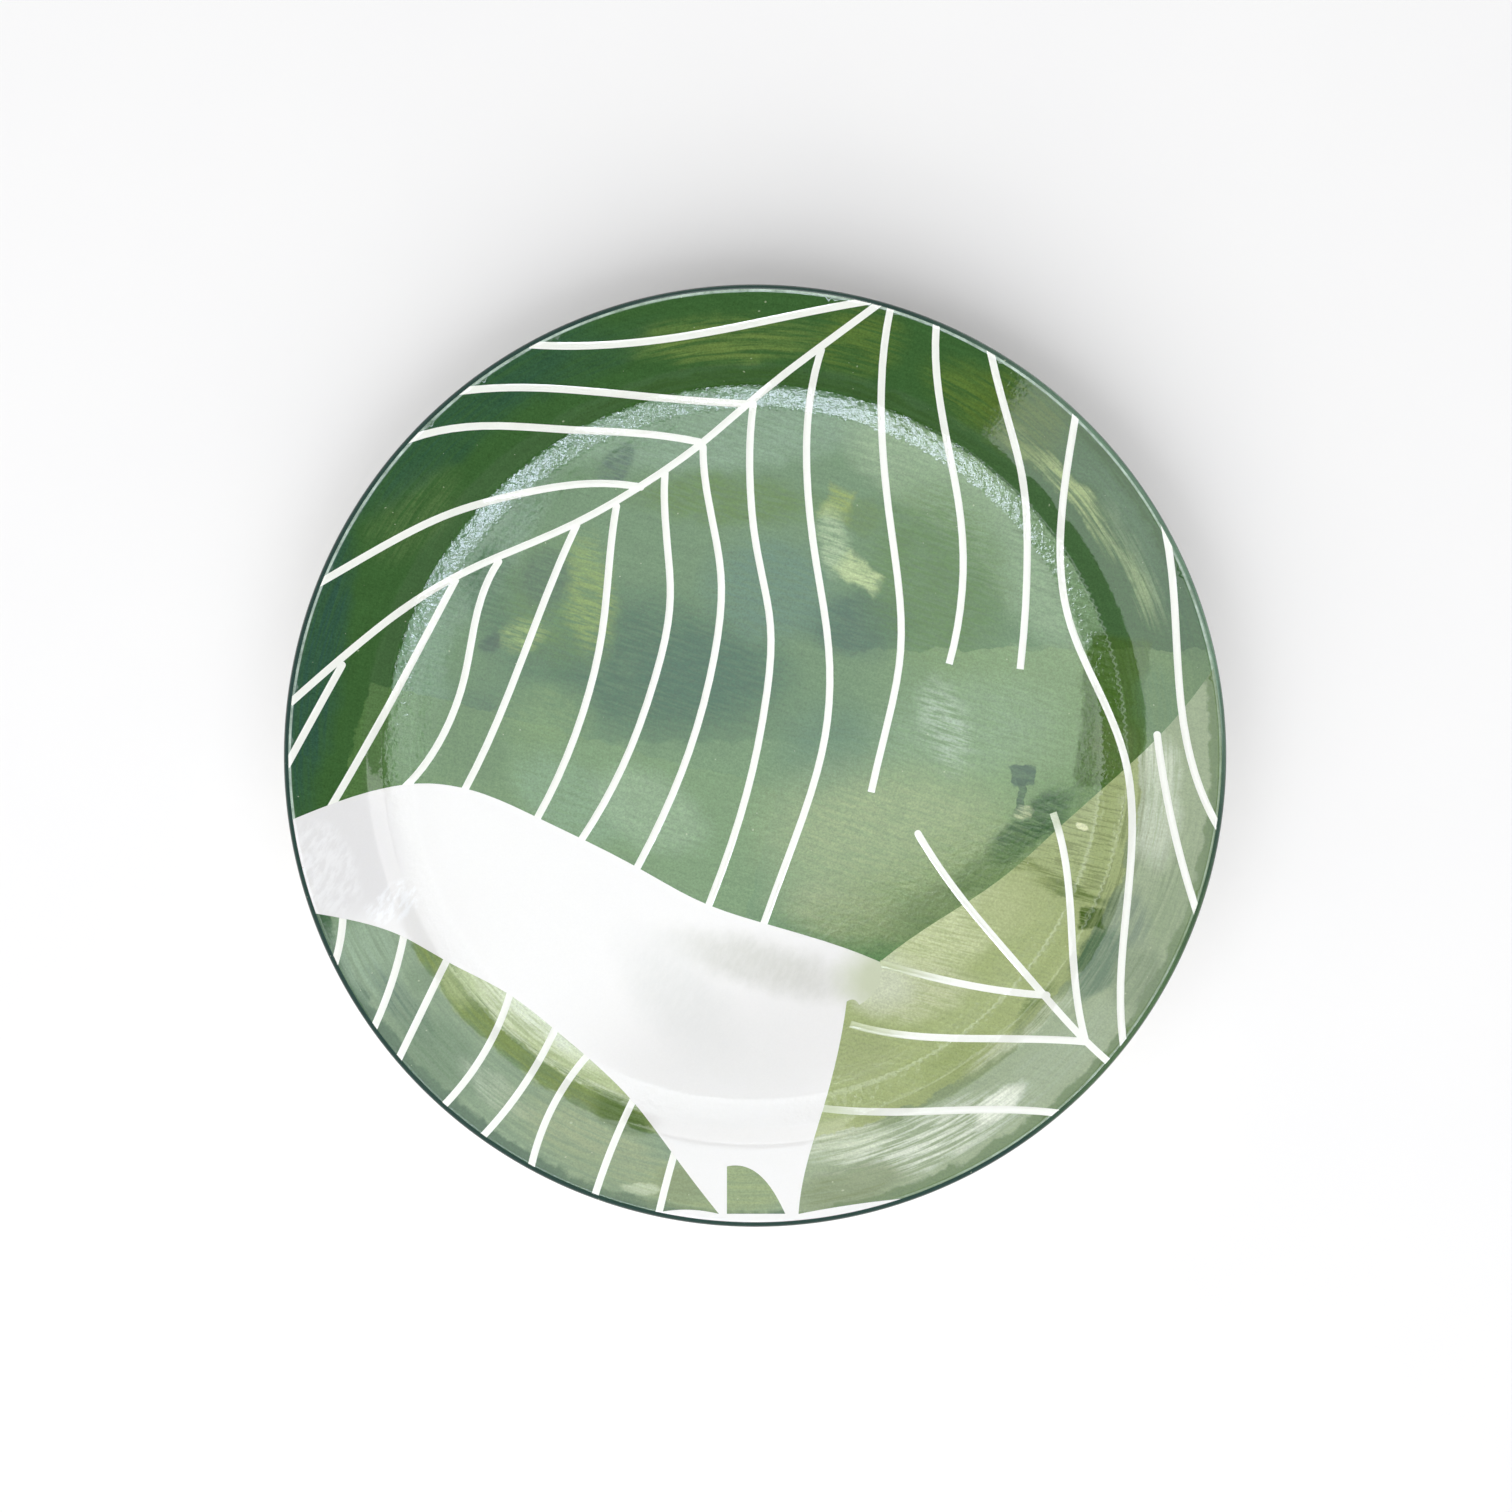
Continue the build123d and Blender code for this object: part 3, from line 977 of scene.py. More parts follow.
@dataclass(frozen=True)
class Strokes:
    """Brush marks over a field of colour."""

    way: BrushWay
    turn: float
    length: float
    width: float
    strength: float = 0.0

    def marks(self, shader: Shader, x: Value, y: Value) -> Value:
        """Noise drawn out along the strokes.

        Args:
            shader: the finish's tree.
            x: the place's first coordinate, in millimetres.
            y: its second coordinate.

        Returns:
            The noise, 0 to 1.
        """
        if self.way is BrushWay.ROUND:
            r = x.hypot(y)
            angle = shader.math("ARCTAN2", y, x)
            vector = shader.joined(angle * (100.0 / self.length), r / self.width, 0.0)
        else:
            along = x * cosine(self.turn) + y * sine(self.turn)
            across = y * cosine(self.turn) - x * sine(self.turn)
            vector = shader.joined(along / self.length, across / self.width, 0.0)
        return shader.noise(vector, 1.0, 5.0, 0.6)


@dataclass(frozen=True)
class GlazedPaint:
    """Brushed colour under a clear gloss glaze, with some painted shade, painted reflections and a painted
    highlight line at the lip.
    """

    name: str
    base: Rgb
    washes: tuple[Wash, ...] = ()
    strokes: tuple[Strokes, ...] = ()
    brush: Strokes = Strokes(BrushWay.STRAIGHT, -18, 8, 1.1)
    rim_brush: Strokes = Strokes(BrushWay.ROUND, 0, 16, 1.1)
    grain: float = 0.1
    flecks: float = 0.0
    # strength of the painted highlight line just inside the lip
    lip_highlight: float = 0.0
    shake: float = 7.0
    peel: float = 0.012
    pull: float = 0.11
    swell: float = 0.012
    gloss: float = 0.02

    IOR = 1.53
    WELL_RADIUS = 106.6
    WELL_TEAR = 2.6  # how far the well's edge strays from a circle
    BARE = rgb(206, 214, 180)
    # colour of the painted highlight line just inside the lip
    LIP_HIGHLIGHT_COLOUR = rgb(206, 226, 210)
    LIP_START = (132.65, 132.95)
    BEND_START = (99.0, 101.0)
    BEND_END = (109.0, 107.0)
    GLOSS_SPREAD = 0.025

    def material(self) -> bpy.types.Material:
        """Build the finish."""
        made, shader = new_material(self.name)
        place = shader.place()
        x, y, _ = shader.axes(place)
        r = x.hypot(y)
        colour = Colour(shader, self.base)
        if self.washes:
            ground = self._ground(shader, x, y, r)
            for wash in self.washes:
                colour = wash.laid(ground, colour)
        for strokes in self.strokes:
            marks = strokes.marks(shader, x, y)
            colour = colour.shaded(1 + (marks - 0.5) * (2 * strokes.strength))
        specks = shader.noise(place, 0.6, 3.0, 0.75)
        colour = colour.shaded(1 + (specks - 0.5) * (2 * self.grain))
        if self.flecks:
            elsewhere = shader.vector("ADD", place, (90.0, 70.0, 0.0))
            bare = shader.noise(elsewhere, 1.2, 0.0, 0.5).smooth(0.86, 0.89)
            colour = colour.mixed(self.BARE, bare * self.flecks)
        # Painted highlight: a pale, broken line just inside the lip stands for the glint on the lip's crest.
        if self.lip_highlight:
            frayed = (shader.noise(place, 7.0, 4.0, 0.7) * 2.4 - 0.55).larger(0.0)
            thin = r.smooth(*self.LIP_START) * frayed
            colour = colour.mixed(self.LIP_HIGHLIGHT_COLOUR, (thin * self.lip_highlight).smaller(1.0))
        peel = (shader.noise(place, 1.6, 2.0, 0.5) - 0.5) * self.peel
        bend = r.smooth(*self.BEND_START) * r.smooth(*self.BEND_END)
        pull = (shader.noise(place, 2.6, 3.0, 0.6) - 0.5) * bend * self.pull
        swell = (shader.noise(place, 11.0, 1.0, 0.4) - 0.5) * self.swell
        gloss = self.gloss + shader.noise(place, 6.0, 2.0, 0.5) * self.GLOSS_SPREAD
        normal = shader.bump(peel + pull + swell)
        shader.surface({"Base Color": colour, "Roughness": gloss, "IOR": self.IOR, "Normal": normal})
        return made

    def _ground(self, shader: Shader, x: Value, y: Value, r: Value) -> Ground:
        """Shake the places as a hand does, and part the well from the flange along a ragged line.

        Args:
            shader: the finish's tree.
            x: the place's first coordinate, in millimetres.
            y: its second coordinate.
            r: its distance from the plate's axis.

        Returns:
            What the washes share.
        """
        place = shader.place()
        wander = shader.noise(place, 9.0, 5.0, 0.6) - 0.5
        drift = shader.noise(shader.vector("ADD", place, (50.0, 20.0, 0.0)), 9.0, 5.0, 0.6) - 0.5
        torn = (shader.noise(place, 2.4, 3.0, 0.6) - 0.5) * self.WELL_TEAR
        well = (r + torn).smooth(self.WELL_RADIUS + 0.25, self.WELL_RADIUS - 0.25)
        inner = self.brush.marks(shader, x, y)
        outer = self.rim_brush.marks(shader, x, y)
        broken = (outer + (inner - outer) * well).smooth(0.38, 0.64)
        zones = {Zone.WELL: well, Zone.FLANGE: 1 - well}
        return Ground(shader, x + wander * self.shake, y + drift * self.shake, broken, zones)


@dataclass(frozen=True)
class WhiteGlaze:
    """White gloss glaze with a few iron specks, a little warmer where it lies thin."""

    name: str
    base: Rgb
    warm: Rgb

    IOR = 1.6
    GLOSS = 0.09
    IRON = rgb(96, 74, 52)

    def material(self) -> bpy.types.Material:
        """Build the finish."""
        made, shader = new_material(self.name)
        place = shader.place()
        clouds = shader.noise(place, 30.0, 3.0, 0.5).smooth(0.4, 0.75)
        colour = Colour(shader, self.base).mixed(self.warm, clouds * 0.5)
        specks = shader.noise(place, 1.1, 0.0, 0.5).smooth(0.8, 0.84)
        colour = colour.mixed(self.IRON, specks * 0.5)
        turning = shader.noise(shader.joined(0.0, 0.0, place_radius(shader)), 1.6, 2.0, 0.6)
        height = turning * 0.012 + shader.noise(place, 1.4, 1.0, 0.5) * 0.006
        normal = shader.bump(height)
        shader.surface({"Base Color": colour, "Roughness": self.GLOSS, "IOR": self.IOR, "Normal": normal})
        return made


def place_radius(shader: Shader) -> Value:
    """Distance from the plate's axis, in millimetres."""
    x, y, _ = shader.axes(shader.place())
    return x.hypot(y)


@dataclass(frozen=True)
class BareClay:
    """Fired clay without glaze: turning lines, sandy grain and dark grog."""

    name: str
    base: Rgb
    dark: Rgb

    GROG = rgb(92, 70, 54)

    def material(self) -> bpy.types.Material:
        """Build the finish."""
        made, shader = new_material(self.name)
        place = shader.place()
        turning = shader.noise(shader.joined(0.0, 0.0, place_radius(shader)), 0.5, 2.0, 0.6)
        sand = shader.noise(place, 0.35, 3.0, 0.7)
        colour = Colour(shader, self.base).mixed(self.dark, turning * 0.3 + sand * 0.25)
        grog = shader.noise(place, 0.6, 0.0, 0.5).smooth(0.74, 0.8)
        colour = colour.mixed(self.GROG, grog * 0.7)
        height = turning * 0.03 + sand * 0.02
        shader.surface({"Base Color": colour, "Roughness": 0.75 + sand * 0.2, "Normal": shader.bump(height)})
        return made


OVAL, BLOCK, BAND, ARC = WashShape.OVAL, WashShape.BLOCK, WashShape.BAND, WashShape.ARC
WELL, FLANGE = Zone.WELL, Zone.FLANGE

WHITE = GlazedPaint("white_field_finish", rgb(241, 239, 236), (
    # Painted shade: the first three washes lay soft grey patches in the lower part of the well.
    Wash((2, -60), (24, 6), -16, rgb(206, 206, 197), 0.75, 1.2, patchy=0.2),
    Wash((-22, -70), (20, 10), -50, rgb(222, 222, 218), 0.6, 1.2, patchy=0.2),
    Wash((-10, -94), (24, 18), 0, rgb(236, 235, 232), 0.6, 1.2, patchy=0.2),
    Wash((37, -65), (11, 10), 0, rgb(204, 210, 182), 1.0, 1.2, patchy=0.0),
    Wash((-118, -28), (16, 20), 20, rgb(233, 231, 230), 0.8, 0.6, patchy=0.0),
    Wash((-123, -32), (8, 14), 20, rgb(248, 247, 246), 0.7, 0.5, patchy=1.1),
    Wash((-104, -42), (8, 5), 30, rgb(252, 252, 252), 0.9, 0.5, patchy=1.4),
), (), Strokes(BrushWay.STRAIGHT, 60, 4, 1.6), Strokes(BrushWay.STRAIGHT, 60, 4, 1.6), grain=0.03)

VEIN = GlazedPaint("vein_finish", rgb(246, 247, 238), (
    Wash((35, -60), (15, 5), -8, rgb(190, 199, 158), 1.0, 1.4, patchy=0.0),
    Wash((26, -77), (15, 5), -4, rgb(188, 198, 154), 1.0, 1.4, patchy=0.0),
    Wash((17, -102), (13, 5), 0, rgb(196, 206, 170), 0.9, 1.4, patchy=0.0),
    Wash((85.5, -17), (3, 5), 0, rgb(170, 186, 140), 0.7, 1.0, patchy=0.2),
), (
    Strokes(BrushWay.STRAIGHT, 60, 9, 1.2, 0.02),
), grain=0.05, peel=0.006)

LARGE_LEAF = GlazedPaint("large_leaf_finish", rgb(62, 98, 52), (
    Wash((-8, 119), (26, 6), 2, rgb(112, 136, 70), 0.85, 0.9, patchy=0.9, zone=FLANGE),
    Wash((30, 119), (12, 9), 0, rgb(96, 122, 56), 0.85, 0.8, patchy=0.9, zone=FLANGE),
    Wash((62, 103), (14, 7), -35, rgb(96, 122, 54), 0.8, 0.9, patchy=0.8, zone=FLANGE),
    Wash((-98, 70), (15, 9), 50, rgb(86, 116, 68), 0.85, 0.9, patchy=0.9, zone=FLANGE),
    Wash((-127, 30), (9, 46), -8, rgb(50, 84, 74), 0.8, 0.7, patchy=0.5, zone=FLANGE),
    Wash((-82, 97), (44, 7), 40, rgb(50, 86, 66), 0.75, 0.8, patchy=0.6, zone=FLANGE),
    Wash((-52, 112), (24, 6), 25, rgb(54, 88, 64), 0.6, 0.8, patchy=0.6, zone=FLANGE),
    Wash((84, 108.5), (48, 2.6), 0, rgb(52, 88, 30), 0.8, 0.6, ARC, patchy=0.6, zone=FLANGE),
    # The well's lighter tone: partly the paint's own tone, partly a painted reflection of the ceiling's
    # haze, whose right-hand edge this wash draws.
    Wash((-5.5, 4), (100.5, 102.5), 0, rgb(90, 127, 82), 0.9, 0.012, patchy=0.1, zone=WELL),
    Wash((-84, 56), (36, 12), 52, rgb(112, 142, 114), 0.9, 0.6, patchy=0.35, zone=WELL),
    Wash((-98, 22), (9, 30), 0, rgb(114, 147, 116), 0.85, 0.7, patchy=0.4, zone=WELL),
    Wash((-10, 95), (48, 12), 4, rgb(120, 150, 120), 0.85, 0.6, patchy=0.4, zone=WELL),
    Wash((50, 82), (26, 12), -32, rgb(138, 164, 124), 0.85, 0.6, patchy=0.4, zone=WELL),
    Wash((76, 60), (42, 14), -50, rgb(130, 158, 118), 0.9, 0.6, patchy=0.35, zone=WELL),
    Wash((-40, 84), (7, 4), 50, rgb(58, 90, 72), 0.85, 0.5, patchy=0.8, zone=WELL),
    # Painted reflection: these three dark washes stand for a dark shape reflected in the glaze, a little
    # above the well's centre.
    Wash((-34, 26), (38, 20), -12, rgb(24, 84, 50), 0.9, 0.9, patchy=0.35, zone=WELL),
    Wash((-12, 24), (20, 11), 0, rgb(30, 88, 58), 0.75, 0.9, patchy=0.35, zone=WELL),
    Wash((30, 38), (15, 9), 0, rgb(30, 82, 58), 0.85, 0.7, patchy=0.3, zone=WELL),
    Wash((-75, 46), (9, 14), 20, rgb(46, 94, 52), 0.8, 0.8, patchy=0.6, zone=WELL),
    Wash((52, 52), (20, 26), 12, rgb(66, 110, 26), 0.85, 0.8, patchy=0.55, zone=WELL),
    Wash((-8, 74), (26, 7), -4, rgb(72, 112, 20), 0.9, 0.7, patchy=0.5, zone=WELL),
    Wash((4, 48), (17, 14), 0, rgb(72, 114, 90), 0.85, 0.8, patchy=0.4, zone=WELL),
    Wash((-56, 44), (14, 17), 8, rgb(88, 126, 44), 0.65, 0.9, patchy=0.7, zone=WELL),
    Wash((-60, 51), (8, 9), -20, rgb(44, 84, 56), 0.8, 0.8, patchy=0.5, zone=WELL),
    Wash((-47.5, 46), (6.5, 16), 4, rgb(132, 158, 72), 0.7, 0.9, patchy=0.8, zone=WELL),
    Wash((-67, 35), (7, 4), 20, rgb(136, 162, 88), 0.8, 1.0, patchy=0.9, zone=WELL),
    Wash((-76, 32), (2.6, 3), 0, rgb(16, 62, 44), 0.7, 0.8, patchy=0.4, zone=WELL),
    Wash((24, 73), (4.2, 4.6), -15, rgb(136, 156, 58), 0.8, 0.6, BLOCK, patchy=0.6, zone=WELL),
    Wash((31, 69), (5, 5), -30, rgb(76, 112, 30), 0.7, 0.6, patchy=0.4, zone=WELL),
    Wash((22.5, 62), (4.0, 9), 8, rgb(172, 194, 150), 0.7, 0.9, patchy=0.7, zone=WELL),
    Wash((30, 52.5), (6, 3.2), -36, rgb(190, 208, 146), 0.85, 0.7, BLOCK, patchy=0.5, zone=WELL),
    Wash((-80, 6), (14, 14), 0, rgb(58, 98, 64), 0.8, 1.0, patchy=0.4, zone=WELL),
    Wash((-60, 12), (12, 9), 0, rgb(108, 142, 84), 0.7, 1.0, patchy=0.5, zone=WELL),
    Wash((-52, -13), (18, 10), -28, rgb(126, 158, 142), 0.85, 0.6, patchy=0.6, zone=WELL),
    Wash((-30, -16), (17, 10), -28, rgb(172, 192, 170), 0.9, 0.7, patchy=0.5, zone=WELL),
    Wash((-61, -28), (61, 35), -15, rgb(104, 138, 80), 0.5, 0.012, BLOCK, patchy=0.2),
    Wash((2, -30), (74, 34), 0, rgb(106, 142, 92), 0.45, 0.04, BLOCK, patchy=0.2),
    Wash((86, -8), (66, 38.5), 0, rgb(122, 152, 96), 0.7, 0.012, BAND, patchy=0.2),
    Wash((84, 14), (10.5, 18), 0, rgb(120, 148, 100), 0.35, 0.04, BLOCK, patchy=0.4, zone=WELL),
    Wash((60, 8), (24, 13), 8, rgb(126, 155, 118), 0.7, 0.9, patchy=0.6),
    Wash((78, 95), (12, 9), -42, rgb(66, 92, 34), 0.75, 0.9, patchy=0.5, zone=FLANGE),
    Wash((118, 50), (6, 13), 12, rgb(62, 94, 54), 0.7, 0.9, patchy=0.5, zone=FLANGE),
    Wash((22, 2), (14, 12), 0, rgb(70, 112, 84), 0.6, 1.2, patchy=0.3),
    Wash((42, -26), (37, 21), -8, rgb(144, 162, 112), 0.85, 0.9, patchy=0.3),
    Wash((26, -46), (19, 8), -14, rgb(142, 158, 112), 0.85, 1.0, patchy=0.3),
    Wash((52, -43), (14, 5), 34, rgb(112, 132, 88), 0.7, 1.0, patchy=0.3),
    Wash((103, 12), (9, 22), -6, rgb(66, 98, 32), 0.9, 0.12, BLOCK, patchy=0.3),
    Wash((103, 2), (7, 9), 0, rgb(96, 118, 66), 0.7, 0.8, patchy=0.5),
    Wash((80, -20), (15, 5.5), 40, rgb(40, 82, 34), 0.9, 0.6, patchy=0.5),
    Wash((67, -33), (13, 5), 34, rgb(86, 116, 66), 0.6, 0.8, patchy=0.4),
    Wash((77.5, -5.5), (3, 2.8), 0, rgb(30, 74, 54), 0.85, 0.2, BLOCK, patchy=0.3),
    Wash((76.6, -11.5), (1.2, 5), -6, rgb(40, 80, 52), 0.85, 0.3, BLOCK, patchy=0.3),
    Wash((77.6, -16.5), (2.6, 2.2), 0, rgb(196, 206, 160), 0.8, 0.5, patchy=1.0),
    Wash((55, 9), (6, 12), 20, rgb(176, 194, 172), 0.55, 1.1, patchy=1.1),
    Wash((41, 118.5), (15, 2.6), 0, rgb(164, 182, 118), 0.8, 0.8, ARC, patchy=0.9, zone=FLANGE),
    Wash((27, 122), (11, 3.6), 0, rgb(150, 170, 118), 0.7, 0.8, ARC, patchy=1.0, zone=FLANGE),
    Wash((33, 126), (20, 3.4), 0, rgb(84, 116, 84), 0.6, 0.8, ARC, patchy=0.5, zone=FLANGE),
    Wash((52, 124), (9, 9), 0, rgb(92, 116, 48), 0.7, 0.8, ARC, patchy=0.8, zone=FLANGE),
    Wash((36, 131.6), (18, 1.2), 0, rgb(48, 84, 28), 0.9, 0.6, ARC, patchy=0.9, zone=FLANGE),
    Wash((19, 129), (9, 3.6), 0, rgb(52, 92, 52), 0.8, 0.7, ARC, patchy=0.7, zone=FLANGE),
    Wash((116, 14), (6, 12), 8, rgb(88, 122, 78), 0.8, 0.5, patchy=0.6),
), (
    Strokes(BrushWay.STRAIGHT, -18, 14, 1.0, 0.2),
    Strokes(BrushWay.ROUND, 0, 24, 1.3, 0.14),
), grain=0.6, flecks=0.4, lip_highlight=0.8)

RIGHT_LEAF = GlazedPaint("right_leaf_finish", rgb(98, 122, 74), (
    Wash((0, 0), (130.5, 130.5), 0, rgb(142, 158, 120), 1.0, 0.008, patchy=0.0),
    Wash((114, -12), (8, 19), 4, rgb(204, 212, 188), 0.9, 0.6, patchy=0.7),
    Wash((119, -42), (6, 14), -18, rgb(120, 140, 98), 0.7, 0.7, patchy=0.7),
    Wash((84, -90), (28, 6), 42, rgb(150, 165, 134), 0.7, 0.8, patchy=0.6),
    Wash((48, -111), (28, 7), 24, rgb(214, 220, 200), 0.9, 0.9, patchy=1.3),
    Wash((26, -110), (13, 6), 10, rgb(206, 214, 186), 0.85, 0.8, patchy=0.8),
    Wash((28, -123), (16, 5), 14, rgb(108, 124, 70), 0.9, 0.8, patchy=0.5),
    Wash((0, 0), (110.5, 110.5), 0, rgb(170, 182, 124), 0.9, 0.008, patchy=0.2),
    Wash((58, -50), (26, 9), 28, rgb(206, 214, 170), 0.9, 0.9, patchy=0.6),
    Wash((45, -68), (16, 8), 8, rgb(198, 204, 166), 0.9, 0.9, patchy=0.6),
    Wash((29, -86), (11, 9), 0, rgb(160, 170, 126), 0.7, 0.9, patchy=0.8),
    Wash((84, -35), (16, 2.0), -24, rgb(98, 118, 52), 0.9, 0.8, patchy=0.8),
    Wash((92, -40), (11, 1.8), -16, rgb(106, 126, 66), 0.9, 0.8, patchy=0.8),
    Wash((101, -24), (24, 20), 0, rgb(104, 118, 78), 0.5, 0.9, patchy=1.8),
    Wash((60, -88), (12, 5), 26, rgb(150, 164, 106), 0.7, 0.9, patchy=0.6),
    Wash((74, -42), (13, 8), 34, rgb(160, 172, 116), 0.6, 1.0, patchy=0.5),
    Wash((70, -100), (9, 3), 38, rgb(232, 236, 218), 0.95, 0.7, patchy=0.4),
    Wash((76, -80), (17, 2.4), 38, rgb(204, 212, 180), 0.8, 0.8, patchy=0.9),
    Wash((80, -73), (9, 2.2), 50, rgb(104, 126, 76), 0.8, 0.8, patchy=0.8),
    Wash((106, -48), (7, 9), -20, rgb(98, 118, 92), 0.85, 0.6, patchy=0.7),
    Wash((98.5, -60), (12, 6), 56, rgb(78, 108, 74), 0.95, 0.4, patchy=0.5),
    Wash((36, -65), (9, 8), 0, rgb(204, 210, 182), 1.0, 1.2, patchy=0.0),
    Wash((110, -64), (7, 9), -30, rgb(100, 120, 82), 0.8, 0.8, patchy=0.5),
    Wash((97.2, -47.0), (3.2, 2.8), 0, rgb(64, 92, 26), 0.95, 0.3, BLOCK, patchy=0.4),
    Wash((93.5, -20.5), (1.6, 1.4), 0, rgb(222, 226, 182), 0.95, 0.4, patchy=0.0),
), (
    Strokes(BrushWay.STRAIGHT, -14, 16, 0.8, 0.14),
    Strokes(BrushWay.ROUND, 0, 40, 1.0, 0.13),
), Strokes(BrushWay.STRAIGHT, -14, 9, 0.8), grain=0.4, flecks=0.4, lip_highlight=0.3)

LEFT_LEAF = GlazedPaint("left_leaf_finish", rgb(70, 102, 70), (
    Wash((0, 0), (130.5, 130.5), 0, rgb(126, 150, 114), 1.0, 0.012, patchy=0.3),
    Wash((-112, -57), (14, 8), -60, rgb(132, 158, 128), 0.8, 0.7, patchy=0.8),
    Wash((-101, -72), (13, 4), -50, rgb(74, 104, 80), 0.8, 0.8, patchy=0.8),
    Wash((-90, -85), (15, 8), -44, rgb(86, 118, 80), 0.8, 0.8, patchy=0.6),
    Wash((-74, -96), (13, 4), -38, rgb(158, 174, 146), 0.85, 0.8, patchy=0.8),
    Wash((-48, -109), (18, 5), -22, rgb(150, 165, 128), 0.8, 0.8, patchy=0.7),
    Wash((-30, -119), (12, 5), -14, rgb(136, 154, 116), 0.7, 0.8, patchy=0.7),
    Wash((0, 0), (112, 112), 0, rgb(136, 154, 84), 0.85, 0.02, patchy=0.5),
    # Painted highlight: with the disc after it, this leaves a pale, broken ring from 105.4 to 107.2 mm, the
    # glint along the edge of the well.
    Wash((0, 0), (107.2, 107.2), 0, rgb(200, 210, 174), 0.8, 0.008, patchy=1.1),
    Wash((0, 0), (105.4, 105.4), 0, rgb(176, 190, 134), 0.9, 0.012, patchy=0.4),
    Wash((-64, -76), (24, 5), -34, rgb(206, 216, 182), 0.9, 0.8, patchy=0.7),
    Wash((-85, -66), (8, 4), -40, rgb(176, 192, 140), 0.85, 0.9, patchy=0.5),
    Wash((-46, -112), (28, 9), -30, rgb(140, 154, 104), 0.55, 0.9, patchy=0.5, zone=FLANGE),
    Wash((-8, -123), (22, 8), 0, rgb(142, 158, 96), 0.75, 0.7, patchy=0.3, zone=FLANGE),
    Wash((-60, -77), (16, 3), -36, rgb(222, 230, 214), 0.7, 0.9, patchy=0.9),
    Wash((-95, -65), (5, 4), -40, rgb(98, 126, 88), 0.7, 0.9, patchy=0.5),
    Wash((-20, -123), (9, 5), 0, rgb(112, 128, 84), 0.7, 0.8, patchy=0.5),
    Wash((-38, -104), (9, 4), -30, rgb(80, 108, 50), 0.85, 0.7, patchy=0.5),
    Wash((-33, -124), (5, 1.6), -8, rgb(188, 200, 164), 0.8, 0.6, patchy=0.4),
), (
    Strokes(BrushWay.ROUND, 0, 36, 1.2, 0.2),
    Strokes(BrushWay.STRAIGHT, -60, 12, 1.0, 0.1),
), Strokes(BrushWay.ROUND, 0, 20, 1.2), grain=0.45, flecks=0.4)

RIM = GlazedPaint("rim_finish", rgb(40, 68, 60), (
    Wash((28, 134), (46, 6), 0, rgb(116, 148, 122), 0.95, 0.3, ARC, patchy=0.4),
    Wash((-32, 134), (26, 6), 0, rgb(88, 118, 78), 0.95, 0.3, ARC, patchy=0.4),
), (
    Strokes(BrushWay.ROUND, 0, 60, 0.8, 0.25),
), grain=0.3, flecks=0.5)

BACK = WhiteGlaze("back_finish", rgb(236, 235, 230), rgb(230, 225, 212))
CLAY = BareClay("clay_finish", rgb(214, 196, 170), rgb(186, 160, 130))


# ---------------------------------------------------------------- the sub-assemblies


class Piece:
    """Puts finished pieces on the frame."""

    @staticmethod
    def placed(made: bpy.types.Object, slot: str, *nodes: str) -> bpy.types.Object:
        """Let a piece ride on the plate and stand for its CAD nodes.

        Args:
            made: the piece.
            slot: the record's material slot; it is not used.
            nodes: the CAD nodes that it replaces.

        Returns:
            The piece.
        """
        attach(made, ROOT)
        if nodes:
            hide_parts(*nodes)
        LOG.info("%s: %d faces", made.name, len(made.data.polygons))
        return made


